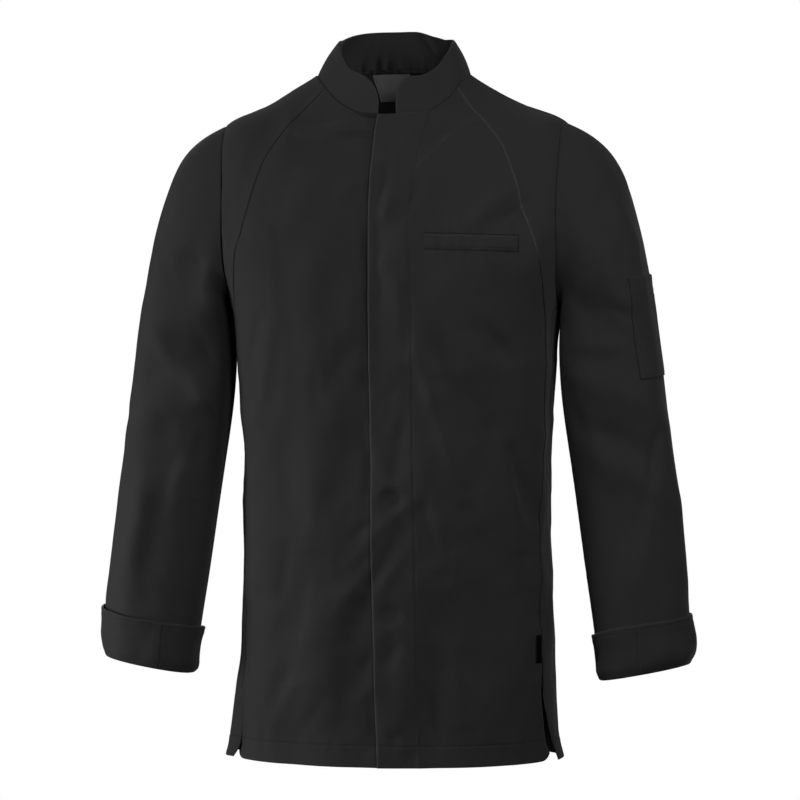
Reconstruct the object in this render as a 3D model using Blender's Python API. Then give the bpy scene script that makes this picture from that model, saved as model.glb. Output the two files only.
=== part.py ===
"""Chef jacket, worn and hollow. Metres, +Z up, the wearer faces -Y, the wearer's left is +X.

Every panel is a patch of one torso surface or of one sleeve surface, cut along
its real seams and given the thickness of its cloth.
"""
import math

import bpy
import numpy as np

CLOTH = 0.0012          # poplin with its seam allowances
COLLAR = 0.0020         # two layers and interlining
CUFF = 0.0015
SEAM = 0.00016          # each piece stops this far short of a shared seam
HEM_Z = -0.772

# Torso levels from the hem to the neck seam. Depths are measured from the
# shoulder line: front_depth towards the chest, back_depth towards the back.
LEVEL_COLUMNS = ("z_front", "z_side", "z_back", "half_width", "front_depth",
                 "back_depth", "squareness", "rise_power")
LEVELS = (
    ("hem",            -0.773, -0.770, -0.772, 0.1785, 0.1150, 0.1170, 2.30, 1.6),
    ("vent top",       -0.690, -0.690, -0.690, 0.1795, 0.1135, 0.1160, 2.30, 2.0),
    ("hip",            -0.620, -0.620, -0.620, 0.1782, 0.1120, 0.1120, 2.30, 2.0),
    ("low waist",      -0.550, -0.550, -0.550, 0.1755, 0.1110, 0.1060, 2.30, 2.0),
    ("waist",          -0.480, -0.479, -0.479, 0.1750, 0.1120, 0.1030, 2.34, 2.0),
    ("high waist",     -0.412, -0.408, -0.408, 0.1768, 0.1155, 0.1060, 2.42, 2.0),
    ("ribs",           -0.348, -0.340, -0.340, 0.1805, 0.1215, 0.1110, 2.60, 2.0),
    ("underarm",       -0.280, -0.262, -0.262, 0.1862, 0.1290, 0.1160, 2.85, 2.0),
    ("low armhole",    -0.238, -0.215, -0.215, 0.1990, 0.1300, 0.1160, 3.05, 2.0),
    ("mid armhole",    -0.192, -0.155, -0.157, 0.2105, 0.1260, 0.1130, 3.10, 2.0),
    ("high armhole",   -0.152, -0.097, -0.110, 0.2100, 0.1195, 0.1070, 2.95, 2.0),
    ("shoulder tip",   -0.118, -0.0515, -0.068, 0.1950, 0.1120, 0.0985, 2.70, 2.0),
    ("outer shoulder", -0.095, -0.0355, -0.041, 0.1610, 0.1045, 0.0895, 2.50, 2.1),
    ("inner shoulder", -0.069, -0.0180, -0.010, 0.1220, 0.0960, 0.0780, 2.30, 2.4),
    ("neck seam",      -0.046, +0.0050, +0.0155, 0.0870, 0.0880, 0.0660, 2.20, 2.9),
)

# Sleeve rings from the armhole to the end of the cloth: the points of the ring
# furthest from and nearest to the body, half its depth and how far its middle
# is from the shoulder line.
SLEEVE_COLUMNS = ("outer_x", "outer_z", "inner_x", "inner_z", "half_depth", "middle_y")
SLEEVE = (
    ("armhole",    0.1950, -0.0512, 0.1866, -0.2620, 0.0700, -0.003),
    ("cap 1",      0.2128, -0.0595, 0.1884, -0.2632, 0.0705, -0.003),
    ("cap 2",      0.2308, -0.0720, 0.1888, -0.2650, 0.0705, -0.003),
    ("cap 3",      0.2480, -0.0920, 0.1888, -0.2675, 0.0700, -0.003),
    ("cap 4",      0.2612, -0.1200, 0.1886, -0.2710, 0.0690, -0.003),
    ("cap 5",      0.2725, -0.1550, 0.1883, -0.2755, 0.0680, -0.004),
    ("upper arm",  0.2843, -0.2050, 0.1877, -0.2850, 0.0660, -0.004),
    ("biceps",     0.2930, -0.2550, 0.1870, -0.3050, 0.0640, -0.005),
    ("above elbow", 0.3020, -0.3250, 0.1897, -0.3600, 0.0605, -0.006),
    ("elbow",      0.3100, -0.3950, 0.1982, -0.4260, 0.0580, -0.008),
    ("forearm",    0.3180, -0.4650, 0.2073, -0.4940, 0.0545, -0.013),
    ("low forearm", 0.3250, -0.5350, 0.2160, -0.5620, 0.0510, -0.019),
    ("wrist",      0.3305, -0.5980, 0.2242, -0.6240, 0.0480, -0.025),
    ("end",        0.3325, -0.6580, 0.2290, -0.6770, 0.0460, -0.030),
)
LEFT_ARM_HANGS = (0.0035, 0.0, -0.0035)      # the wearer's left cuff hangs further out and lower

# Seams and edges on the wearer's left front: distance from the centre, height.
RAGLAN = ((0.0765, -0.015), (0.0880, -0.030), (0.1085, -0.053), (0.1260, -0.075),
          (0.1385, -0.098), (0.1460, -0.120), (0.1520, -0.142), (0.1590, -0.1645),
          (0.1655, -0.187), (0.1705, -0.209), (0.1735, -0.231), (0.1750, -0.253),
          (0.1748, -0.309), (0.1730, -0.365), (0.1702, -0.420), (0.1675, -0.500),
          (0.1668, -0.588), (0.1680, -0.6435), (0.1690, -0.690), (0.1720, -0.735),
          (0.1750, -0.772))
TOP_EDGE = ((-0.0100, -0.046), (-0.0130, -0.075), (-0.0152, -0.120), (-0.0160, -0.200),
            (-0.0152, -0.300), (-0.0145, -0.400), (-0.0130, -0.540), (-0.0115, -0.640),
            (-0.0090, -0.720), (-0.0065, -0.772))
UNDER_EDGE_X = 0.030
PLACKET_X = 0.036

# Hidden seam lines, as degrees round from the centre front.
SIDE_SEAM = ((-0.772, 117.0), (-0.690, 113.0), (-0.600, 108.0), (-0.480, 103.0),
             (-0.360, 97.0), (-0.300, 93.0), (-0.262, 90.0))
ARMHOLE_FRONT, ARMHOLE_BACK = 34.0, 33.0       # half widths, degrees
SHOULDER_SEAM = 78.0
VENT_TOP = -0.688
FLARE_TOP, FLARE_LENGTH = -0.655, 0.115        # the cloth behind each vent swings out below here
FLARE_LEFT, FLARE_RIGHT = 0.0110, 0.0175

NECK_SHIFT_FRONT, NECK_SHIFT_BACK = 0.0035, 0.0045    # the neck sits towards the wearer's right
NECK_DROP = 0.0040                             # and its seam is lower on the wearer's left
TOP_LIFT, UNDER_SINK = 0.0016, 0.0020          # the lapped fronts bow apart

# Pieces sewn on. Welt corners: distance from the centre and height, bottom
# left, bottom right, top left, top right.
WELT = ((0.047, -0.1985), (0.150, -0.2015), (0.047, -0.1815), (0.150, -0.1845))
WELT_OFF, WELT_THICK = 0.0007, 0.0015
TAB_X, TAB_WIDTH = 0.168, 0.0085
TAB_HEIGHTS = (-0.6590, -0.6435, -0.6280)
TAB_OFF, TAB_THICK = 0.0004, 0.0012
LABEL_HEIGHTS = (-0.0175, -0.0010, +0.0142)
LABEL_HALF_WIDTH, LABEL_OFF_CENTRE = 0.0215, 0.0120
LABEL_OFF, LABEL_THICK = 0.0004, 0.0010
POCKET_DEGREES = (54.0, 36.0, 18.0, 0.0, -18.0, -30.0)
POCKET_TOP, POCKET_LOW, POCKET_SLANT = -0.2236, -0.3370, 0.006
POCKET_OFF, POCKET_THICK = 0.0009, 0.0012
STUD_X = 0.010
STUD_HEIGHTS = (-0.085, -0.215, -0.345, -0.475, -0.605, -0.725)
STUD_RADIUS = 0.0050
STUD_DEPTHS = (-0.0004, -0.0014)

# Turned-back cuff: its top edge and fold as shares of the sleeve's length.
CUFF_TOP, CUFF_TOP_WAVE, CUFF_FOLD = 0.896, 0.004, 0.9920
CUFF_FOLD_RADIUS = 0.00205
CUFF_INSIDE = 0.020                            # share of the sleeve that it reaches inside
CUFF_SEAM = 90.0                               # degrees, towards the front

# Large soft folds: start and end (distance from the centre towards the wearer's
# left, height), reach to each side, height of the ridge (trough when negative).
FRONT_FOLDS = (
    (+0.062, -0.060, -0.004, -0.108, 0.015, +0.0030),
    (+0.092, -0.072, +0.030, -0.150, 0.016, +0.0036),
    (+0.030, -0.150, +0.012, -0.230, 0.015, +0.0026),
    (+0.134, -0.135, +0.085, -0.180, 0.017, +0.0034),
    (+0.150, -0.215, +0.105, -0.330, 0.022, +0.0040),
    (+0.045, -0.215, +0.060, -0.380, 0.024, -0.0036),
    (+0.110, -0.330, +0.140, -0.520, 0.026, -0.0040),
    (+0.050, -0.370, +0.064, -0.560, 0.026, +0.0052),
    (+0.085, -0.560, +0.150, -0.700, 0.024, -0.0034),
    (+0.045, -0.740, +0.070, -0.620, 0.022, -0.0042),
    (+0.105, -0.765, +0.130, -0.640, 0.022, +0.0036),
    (-0.020, -0.066, -0.075, -0.048, 0.013, +0.0024),
    (-0.022, -0.100, -0.088, -0.086, 0.014, -0.0028),
    (-0.070, -0.120, -0.120, -0.180, 0.018, +0.0036),
    (-0.030, -0.165, -0.070, -0.290, 0.022, -0.0040),
    (-0.150, -0.200, -0.120, -0.330, 0.022, +0.0044),
    (-0.095, -0.250, -0.045, -0.380, 0.024, +0.0036),
    (-0.030, -0.350, -0.050, -0.480, 0.021, -0.0042),
    (-0.150, -0.390, -0.138, -0.600, 0.024, +0.0050),
    (-0.100, -0.420, -0.090, -0.570, 0.026, -0.0040),
    (-0.060, -0.540, -0.085, -0.700, 0.024, +0.0042),
    (-0.025, -0.600, -0.045, -0.720, 0.020, -0.0044),
    (-0.120, -0.640, -0.100, -0.765, 0.022, -0.0036),
    (-0.145, -0.680, -0.150, -0.768, 0.020, +0.0034),
)
BACK_FOLDS = (
    (-0.110, -0.070, -0.040, -0.120, 0.020, +0.0034),
    (+0.100, -0.060, +0.050, -0.130, 0.021, +0.0036),
    (+0.150, -0.180, +0.070, -0.260, 0.024, +0.0048),
    (-0.155, -0.200, -0.085, -0.290, 0.023, +0.0044),
    (+0.120, -0.270, +0.060, -0.380, 0.024, -0.0040),
    (-0.130, -0.310, -0.050, -0.400, 0.025, -0.0044),
    (-0.060, -0.380, -0.080, -0.560, 0.027, +0.0050),
    (+0.030, -0.420, +0.050, -0.600, 0.028, +0.0046),
    (+0.110, -0.430, +0.125, -0.640, 0.026, -0.0046),
    (-0.130, -0.500, -0.110, -0.700, 0.026, -0.0040),
    (-0.020, -0.560, -0.010, -0.765, 0.026, -0.0046),
    (+0.080, -0.620, +0.070, -0.770, 0.024, +0.0044),
    (-0.080, -0.650, -0.090, -0.770, 0.023, +0.0040),
)
# The same on a sleeve: degrees round it from its outermost line (towards the
# front positive), height; reach is in metres.
SLEEVE_FOLDS_LEFT = (
    (+70.0, -0.090, +30.0, -0.190, 0.017, +0.0032),
    (+110.0, -0.130, +75.0, -0.260, 0.018, +0.0044),
    (+125.0, -0.240, +60.0, -0.300, 0.017, -0.0042),
    (+130.0, -0.330, +40.0, -0.380, 0.019, +0.0050),
    (+120.0, -0.390, +55.0, -0.430, 0.017, -0.0052),
    (+100.0, -0.430, +30.0, -0.480, 0.018, +0.0046),
    (+60.0, -0.480, +95.0, -0.600, 0.020, +0.0042),
    (+20.0, -0.400, +10.0, -0.560, 0.020, +0.0038),
    (-60.0, -0.110, -40.0, -0.240, 0.020, +0.0040),
    (-110.0, -0.170, -60.0, -0.290, 0.020, -0.0042),
    (-120.0, -0.320, -50.0, -0.370, 0.019, +0.0052),
    (-110.0, -0.390, -30.0, -0.420, 0.018, -0.0050),
    (-100.0, -0.450, -40.0, -0.520, 0.020, +0.0044),
)
SLEEVE_FOLDS_RIGHT = (
    (+60.0, -0.095, +85.0, -0.200, 0.018, +0.0036),
    (+115.0, -0.150, +80.0, -0.250, 0.018, -0.0040),
    (+120.0, -0.260, +45.0, -0.300, 0.018, +0.0042),
    (+125.0, -0.310, +50.0, -0.350, 0.018, -0.0050),
    (+110.0, -0.360, +30.0, -0.405, 0.019, +0.0052),
    (+120.0, -0.420, +60.0, -0.450, 0.018, -0.0048),
    (+90.0, -0.450, +50.0, -0.590, 0.021, +0.0044),
    (+25.0, -0.440, +15.0, -0.600, 0.019, +0.0040),
    (-70.0, -0.100, -35.0, -0.220, 0.020, +0.0042),
    (-115.0, -0.190, -70.0, -0.300, 0.019, -0.0040),
    (-125.0, -0.340, -45.0, -0.395, 0.019, +0.0050),
    (-105.0, -0.410, -35.0, -0.435, 0.018, -0.0046),
    (-95.0, -0.470, -50.0, -0.560, 0.020, +0.0040),
)

# Collar, from its front end to the centre back: degrees round the neck seam,
# how far the top edge leans inwards and how far it stands above the seam.
COLLAR_STATIONS = (
    (0.0, 0.0080, 0.0435), (20.0, 0.0100, 0.0430), (40.0, 0.0150, 0.0395),
    (60.0, 0.0205, 0.0365), (80.0, 0.0240, 0.0370), (95.0, 0.0240, 0.0385),
    (120.0, 0.0190, 0.0410), (150.0, 0.0100, 0.0440), (180.0, 0.0060, 0.0445))
COLLAR_GAP_X = 0.0105
COLLAR_ROUND = 0.024


def spline(knots, values):
    """Natural cubic spline through the table; returns a function of a knot position."""
    x = np.asarray(knots, float)
    y = np.asarray(values, float)
    n = len(x)
    h = np.diff(x)
    a = np.zeros((n, n))
    r = np.zeros(n)
    a[0, 0] = a[-1, -1] = 1.0
    for i in range(1, n - 1):
        a[i, i - 1], a[i, i], a[i, i + 1] = h[i - 1], 2 * (h[i - 1] + h[i]), h[i]
        r[i] = 6 * ((y[i + 1] - y[i]) / h[i] - (y[i] - y[i - 1]) / h[i - 1])
    m = np.linalg.solve(a, r)

    def at(p):
        p = np.clip(np.asarray(p, float), x[0], x[-1])
        i = np.clip(np.searchsorted(x, p, side="right") - 1, 0, n - 2)
        d, u = p - x[i], x[i + 1] - p
        return ((m[i] * u ** 3 + m[i + 1] * d ** 3) / (6 * h[i])
                + (y[i] / h[i] - m[i] * h[i] / 6) * u
                + (y[i + 1] / h[i] - m[i + 1] * h[i] / 6) * d)
    return at


def smooth(low, high, value):
    """0 before low, 1 after high, soft between; works downwards too."""
    u = np.clip((np.asarray(value, float) - low) / (high - low), 0.0, 1.0)
    return u * u * (3 - 2 * u)


def folds(table, x, z):
    """Sum of soft ridges and troughs at each (x, z)."""
    total = np.zeros(np.broadcast(x, z).shape)
    for x0, z0, x1, z1, reach, height in table:
        dx, dz = x1 - x0, z1 - z0
        along = ((x - x0) * dx + (z - z0) * dz) / (dx * dx + dz * dz)
        nearest = np.clip(along, 0.0, 1.0)
        away = np.hypot(x - x0 - nearest * dx, z - z0 - nearest * dz)
        total = total + height * (0.55 + 0.45 * np.sin(np.pi * nearest)) * np.exp(-(away / reach) ** 2)
    return total


# ---- torso surface -------------------------------------------------------
_rows = np.array([row[1:] for row in LEVELS])
_side = np.column_stack([_rows[:, 3], _rows[:, 1]])
LEVEL_AT = np.concatenate([[0.0], np.cumsum(np.hypot(*np.diff(_side, axis=0).T))])
SIDE_LENGTH = LEVEL_AT[-1]
LEVEL_AT /= SIDE_LENGTH
TORSO = {name: spline(LEVEL_AT, _rows[:, i]) for i, name in enumerate(LEVEL_COLUMNS)}
V_UNDERARM = LEVEL_AT[[row[0] for row in LEVELS].index("underarm")]
V_TIP = LEVEL_AT[[row[0] for row in LEVELS].index("shoulder tip")]


def torso_base(q, v):
    """Point at q degrees round from the centre front (wearer's left positive), level v."""
    q, v = np.broadcast_arrays(np.radians(np.asarray(q, float)), np.asarray(v, float))
    at = {name: f(v) for name, f in TORSO.items()}
    n = at["squareness"]
    s, c = np.sin(q), np.cos(q)
    r = (np.abs(s) ** n + np.abs(c) ** n) ** (-1 / n)
    front = c > 0
    x = at["half_width"] * r * s
    y = -np.where(front, at["front_depth"], at["back_depth"]) * r * c
    z_mid = np.where(front, at["z_front"], at["z_back"])
    z = z_mid + (at["z_side"] - z_mid) * np.abs(r * s) ** at["rise_power"]
    at_neck = smooth(0.93, 1.0, v)
    x = x - at_neck * (NECK_SHIFT_FRONT * smooth(-0.06, 0.0, y) + NECK_SHIFT_BACK * smooth(0.0, 0.06, y))
    z = z - at_neck * NECK_DROP * smooth(0.015, 0.045, x) * smooth(0.080, 0.060, x)
    return np.stack([x, y, z], -1)


def normals(surface, a, b, da, db):
    """Unit normals of surface(a, b), by differences."""
    pa = surface(a + da, b) - surface(a - da, b)
    pb = surface(a, b + db) - surface(a, b - db)
    n = np.cross(pa, pb)
    return n / np.linalg.norm(n, axis=-1, keepdims=True)


def torso_normal(q, v):
    return normals(torso_base, np.asarray(q, float), np.clip(v, 0.002, 0.998), 0.5, 0.002)


def q_at_x(x, v):
    """Degrees round for a distance from the centre, on the front."""
    a, n = TORSO["half_width"](v), TORSO["squareness"](v)
    s = np.clip(np.abs(x) / a, 0.0, 0.9999)
    return np.degrees(np.arctan2(s, (1 - s ** n) ** (1 / n))) * np.sign(x)


_v_dense = np.linspace(0.0, 1.0, 1201)


def v_at(x, z, front=True):
    """Level of the torso surface through (x, z)."""
    mid = TORSO["z_front" if front else "z_back"](_v_dense)
    s = np.abs(x) / TORSO["half_width"](_v_dense)
    ring_z = mid + (TORSO["z_side"](_v_dense) - mid) * np.minimum(s, 1.0) ** TORSO["rise_power"](_v_dense)
    over = np.nonzero((ring_z[:-1] <= z) & (ring_z[1:] > z) & (s[1:] <= 1.0))[0]
    if not len(over):
        return 1.0 if z > -0.3 else 0.0
    i = over[-1]
    return _v_dense[i] + (_v_dense[i + 1] - _v_dense[i]) * (z - ring_z[i]) / (ring_z[i + 1] - ring_z[i])


def seam_curve(points):
    """Degrees round as a function of level, for a front seam given by (x, z) points."""
    pairs = sorted((v_at(x, z), x) for x, z in points)
    v = np.array([p[0] for p in pairs])
    x = np.array([p[1] for p in pairs])
    keep = np.concatenate([[True], np.diff(v) > 1e-4])
    line = spline(v[keep], x[keep])
    return lambda level: q_at_x(line(level), level)


raglan_q = seam_curve(RAGLAN)
top_edge_q = seam_curve(TOP_EDGE)
_side_seam = spline([z for z, q in SIDE_SEAM], [q for z, q in SIDE_SEAM])


def armhole_turn(v):
    """0 at the underarm, 1 at the shoulder tip, spaced as a circle's height."""
    u = np.clip((v - V_UNDERARM) / (V_TIP - V_UNDERARM), 0.0, 1.0)
    return np.arccos(1 - 2 * u) / np.pi


def rear_edge_q(v, back=False):
    """Rear edge of a side panel, or of the back: side seam, armhole, shoulder seam."""
    v = np.asarray(v, float)
    turn = armhole_turn(v)
    centre = 90.0 + (SHOULDER_SEAM - 90.0) * turn ** 2
    width = (ARMHOLE_BACK if back else -ARMHOLE_FRONT) * np.sin(np.pi * turn) ** 0.8
    arm = centre + width
    return np.where(v <= V_UNDERARM, _side_seam(TORSO["z_side"](v)), arm)


def front_edge_q(v):
    """Front edge of a side panel: the raglan seam, then the open vent."""
    z = TORSO["z_side"](v)
    return raglan_q(v) + 1.5 * smooth(VENT_TOP, HEM_Z, z)


def torso_move(q, v):
    """How far the folds stand off the base surface."""
    p = torso_base(q, v)
    x, y, z = p[..., 0], p[..., 1], p[..., 2]
    aq = np.abs((np.asarray(q, float) + 180.0) % 360.0 - 180.0)
    on_front = 1 - smooth(62.0, 86.0, aq)
    on_back = smooth(98.0, 120.0, aq)
    below_neck = 1 - smooth(-0.020, 0.006, z) * 0.8
    return (folds(FRONT_FOLDS, x, z) * on_front + folds(BACK_FOLDS, x, z) * on_back) * below_neck


def vent_flare(q, v):
    """How far the cloth behind each vent swings outwards."""
    aq = np.abs((np.asarray(q, float) + 180.0) % 360.0 - 180.0)
    swing = np.clip((FLARE_TOP - TORSO["z_side"](v)) / FLARE_LENGTH, 0.0, 1.0)
    reach = np.where(np.asarray(q) % 360.0 > 180.0, FLARE_RIGHT, FLARE_LEFT)
    return reach * swing ** 1.3 * smooth(66.0, 76.0, aq) * (1 - smooth(92.0, 140.0, aq))


def torso(q, v, out=0.0, flare=0.0):
    """Torso cloth at (q, v), moved out along the base surface's normal."""
    n = torso_normal(q, v)
    p = torso_base(q, v) + n * (torso_move(q, v) + out)[..., None]
    swing = (flare * vent_flare(q, v))[..., None]
    return p + n * swing + np.array([0.0, 0.0, 0.6]) * swing, n


# ---- sleeve surface ------------------------------------------------------
_ring = np.array([row[1:] for row in SLEEVE])
_mid = (_ring[:, 0:2] + _ring[:, 2:4]) / 2
RING_AT = np.concatenate([[0.0], np.cumsum(np.hypot(*np.diff(_mid, axis=0).T))])
SLEEVE_LENGTH = RING_AT[-1]
RING_AT /= SLEEVE_LENGTH
ARM = {name: spline(RING_AT, _ring[:, i]) for i, name in enumerate(SLEEVE_COLUMNS)}
U_CAP = RING_AT[[row[0] for row in SLEEVE].index("upper arm")]


def armhole_point(angle):
    """Armhole edge: 0 at the shoulder tip, 180 at the underarm, front positive."""
    angle = (np.asarray(angle, float) + 180.0) % 360.0 - 180.0
    turn = 1 - np.abs(angle) / 180.0
    v = V_UNDERARM + (V_TIP - V_UNDERARM) * (1 - np.cos(np.pi * turn)) / 2
    q = np.where(angle >= 0, rear_edge_q(v), rear_edge_q(v, back=True))
    q = np.where(turn <= 0, 90.0, q)
    return torso(q, v)[0]


def sleeve_base(angle, u):
    """Left sleeve at angle degrees from its outermost line (front positive), u along it."""
    angle, u = np.broadcast_arrays(np.asarray(angle, float), np.asarray(u, float))
    at = {name: f(u) for name, f in ARM.items()}
    c, s = np.cos(np.radians(angle)), np.sin(np.radians(angle))

    def ellipse(at):
        x = (at["outer_x"] + at["inner_x"]) / 2 + (at["outer_x"] - at["inner_x"]) / 2 * c
        z = (at["outer_z"] + at["inner_z"]) / 2 + (at["outer_z"] - at["inner_z"]) / 2 * c
        return np.stack([x, at["middle_y"] - at["half_depth"] * s, z], -1)
    first = {name: f(0.0) for name, f in ARM.items()}
    keep = (1 - smooth(0.0, U_CAP * 1.15, u))[..., None]
    start = armhole_point(angle) + np.array([0.00045, 0.0, 0.0])
    return ellipse(at) + keep * (start - ellipse(first))


def sleeve(angle, u, side, out=0.0):
    """Sleeve cloth and its normal; side is +1 for the wearer's left."""
    u = np.asarray(u, float)
    n = normals(sleeve_base, np.asarray(angle, float), np.clip(u, 0.0015, 0.9985), 0.8, 0.0015)
    p = sleeve_base(angle, u)
    wrapped = (np.asarray(angle, float) + 180.0) % 360.0 - 180.0
    table = SLEEVE_FOLDS_LEFT if side > 0 else SLEEVE_FOLDS_RIGHT
    scaled = [(a0 * 0.001, z0, a1 * 0.001, z1, reach, height) for a0, z0, a1, z1, reach, height in table]
    keep = smooth(0.02, 0.10, u) * (1 - smooth(0.90, 0.97, u)) * (1 - smooth(125.0, 160.0, np.abs(wrapped)))
    move = folds(scaled, wrapped * 0.001, p[..., 2]) * keep
    p = p + n * (move + out)[..., None]
    mirror = np.array([side, 1.0, 1.0])
    if side > 0:
        p = p + smooth(0.45, 1.0, u)[..., None] * np.array(LEFT_ARM_HANGS)
    return p * mirror, n * mirror


# ---- solids --------------------------------------------------------------
def add_object(name, points, faces, colour, roughness):
    mesh = bpy.data.meshes.new(name)
    mesh.from_pydata([tuple(p) for p in points], [], faces)
    mesh.update()
    item = bpy.data.objects.new(name, mesh)
    bpy.context.scene.collection.objects.link(item)
    material = bpy.data.materials.new(name)
    material.use_nodes = True
    shader = material.node_tree.nodes["Principled BSDF"]
    shader.inputs["Base Color"].default_value = (*colour, 1.0)
    shader.inputs["Roughness"].default_value = roughness
    mesh.materials.append(material)
    return item


def add_closed(name, points, triangles, colour, roughness):
    """Adds the body with its faces turned outwards."""
    corners = points[np.array(triangles)]
    volume = np.einsum("ij,ij->i", corners[:, 0], np.cross(corners[:, 1], corners[:, 2])).sum()
    if volume < 0:
        triangles = [t[::-1] for t in triangles]
    return add_object(name, points, triangles, colour, roughness)


def solid(name, outer, inner, closed=False, turn=0, colour=(0.020, 0.020, 0.022), roughness=0.85):
    """Closed body between two grids of points; closed joins the last column to the first."""
    rows, cols = outer.shape[:2]
    points = np.concatenate([outer.reshape(-1, 3), inner.reshape(-1, 3)])
    far = rows * cols
    faces = []

    def at(i, j, layer=0):
        return layer * far + i * cols + j % cols
    across = cols if closed else cols - 1
    for i in range(rows - 1):
        for j in range(across):
            a, b, c, d = at(i, j), at(i, j + 1), at(i + 1, j + 1), at(i + 1, j)
            if (i + j + turn) % 2:
                faces += [(a, b, c), (a, c, d)]
                faces += [(a + far, c + far, b + far), (a + far, d + far, c + far)]
            else:
                faces += [(a, b, d), (b, c, d)]
                faces += [(a + far, d + far, b + far), (b + far, d + far, c + far)]
    for j in range(across):
        a, b = at(0, j), at(0, j + 1)
        faces += [(a, a + far, b + far), (a, b + far, b)]
        a, b = at(rows - 1, j + 1), at(rows - 1, j)
        faces += [(a, a + far, b + far), (a, b + far, b)]
    if not closed:
        for i in range(rows - 1):
            a, b = at(i + 1, 0), at(i, 0)
            faces += [(a, a + far, b + far), (a, b + far, b)]
            a, b = at(i, cols - 1), at(i + 1, cols - 1)
            faces += [(a, a + far, b + far), (a, b + far, b)]
    return add_closed(name, points, faces, colour, roughness)


def degrees_for(q, v, distance):
    step = np.linalg.norm(torso_base(q + 0.5, v) - torso_base(q - 0.5, v), axis=-1)
    return distance / step


def levels(below=20, armhole=10, shoulder=5):
    """Levels of the panels' rows at the body's centre and at the side.

    At the side the rows are even round the armhole; from there they fan out,
    downwards below it and upwards above it, to even rows at the centre.
    """
    fan_low, fan_high = V_UNDERARM - 0.070 / SIDE_LENGTH, V_TIP + 0.030 / SIDE_LENGTH
    even = np.linspace(0.0, 1.0, armhole + 1)[1:]
    centre = np.concatenate([np.linspace(0.0, fan_low, below + 1),
                             fan_low + (fan_high - fan_low) * even,
                             np.linspace(fan_high, 1.0 - 0.0006, shoulder + 1)[1:]])
    side = np.concatenate([np.linspace(0.0, V_UNDERARM, below + 1),
                           V_UNDERARM + (V_TIP - V_UNDERARM) * (1 - np.cos(np.pi * even)) / 2,
                           np.linspace(V_TIP, 1.0 - 0.0006, shoulder + 1)[1:]])
    return centre, side


def patch(v_from, q_from, v_to, q_to, columns, q_lap=None, fan=0):
    """Grid of (q, v) between two edges, stopping short of each by half a seam.

    A lapped front has three columns more, up to q_lap, where its partner's edge
    is. With fan the rows turn most near the first edge (1) or the last (-1).
    """
    a = q_from + degrees_for(q_from, v_from, SEAM) * np.sign(q_to - q_from)
    b = q_to - degrees_for(q_to, v_to, SEAM) * np.sign(q_to - q_from)
    start = a if q_lap is None else q_lap
    w = np.linspace(0.0, 1.0, columns + 1)
    turn = {0: w, 1: 1 - (1 - w) ** 2.2, -1: w ** 2.2}[fan]
    q = start[:, None] * (1 - w) + b[:, None] * w
    v = v_from[:, None] * (1 - turn) + v_to[:, None] * turn
    if q_lap is not None:
        w = np.linspace(0.0, 1.0, 4)[:-1]
        q = np.concatenate([a[:, None] * (1 - w) + q_lap[:, None] * w, q], axis=1)
        v = np.concatenate([np.repeat(v_from[:, None], 3, 1), v], axis=1)
    return q, v


GRIDS = {}      # each panel's outside: (a, b) of its points, the points and normals


def torso_panel(name, q, v, out=0.0, thick=CLOTH, flare=0.0, **look):
    outer, n = torso(q, v, out, flare)
    inner = torso(q, v, out - thick, flare)[0]
    GRIDS[name] = (q, v, outer, n)
    return solid(name, outer, inner, **look)


def laid_on(name, a, b, out, thick, **look):
    """Patch sewn on a panel: its points lie on the panel's own facets, moved out."""
    carrier, piece = name
    keys, rows, points, norms = GRIDS[carrier]
    if keys[0, 0] > keys[0, -1]:
        keys, rows, points, norms = keys[:, ::-1], rows[:, ::-1], points[:, ::-1], norms[:, ::-1]
    place, facing = np.zeros(a.shape + (3,)), np.zeros(a.shape + (3,))
    for i in np.ndindex(a.shape):
        here = np.array([np.interp(a[i], keys[r], rows[r]) for r in range(len(keys))])
        r = int(np.clip(np.searchsorted(here, b[i], side="right") - 1, 0, len(here) - 2))
        f = (b[i] - here[r]) / (here[r + 1] - here[r])
        for k in range(3):
            for target, table in ((place, points), (facing, norms)):
                low = np.interp(a[i], keys[r], table[r, :, k])
                high = np.interp(a[i], keys[r + 1], table[r + 1, :, k])
                target[i + (k,)] = low * (1 - f) + high * f
    facing /= np.linalg.norm(facing, axis=-1, keepdims=True)
    return solid(piece, place + facing * (out + thick), place + facing * out, **look)


def front_lift(q, v, side):
    """The top front lies over the under front; each bows to leave the other room."""
    x = torso_base(q, v)[..., 0]
    if side > 0:
        return TOP_LIFT * (1 - smooth(PLACKET_X, PLACKET_X + 0.030, x))
    return -UNDER_SINK * smooth(-0.060, -0.024, x)


def build_torso():
    centre, edge = levels()
    seam = 0.6 * centre + 0.4 * edge
    for side, word in ((1, "left"), (-1, "right")):
        top, under = top_edge_q(centre), q_at_x(np.full_like(centre, UNDER_EDGE_X), centre)
        if side > 0:
            q, v = patch(centre, top, seam, raglan_q(seam), 8, q_lap=under)
        else:
            q, v = patch(centre, -under, seam, raglan_q(seam), 9, q_lap=-top)
        torso_panel("front_" + word, q * side, v, front_lift(q * side, v, side),
                    turn=(1 - side) // 2)
        q, v = patch(seam, front_edge_q(seam), edge, rear_edge_q(edge), 4, fan=-1)
        torso_panel("side_" + word, q * side, v, flare=1.0)
    q, v = patch(edge, rear_edge_q(edge, back=True), centre, np.full_like(centre, 180.0), 9, fan=1)
    q[:, -1] = 180.0
    torso_panel("back", np.concatenate([q, 360.0 - q[:, -2::-1]], axis=1),
                np.concatenate([v, v[:, -2::-1]], axis=1), flare=1.0)


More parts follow.
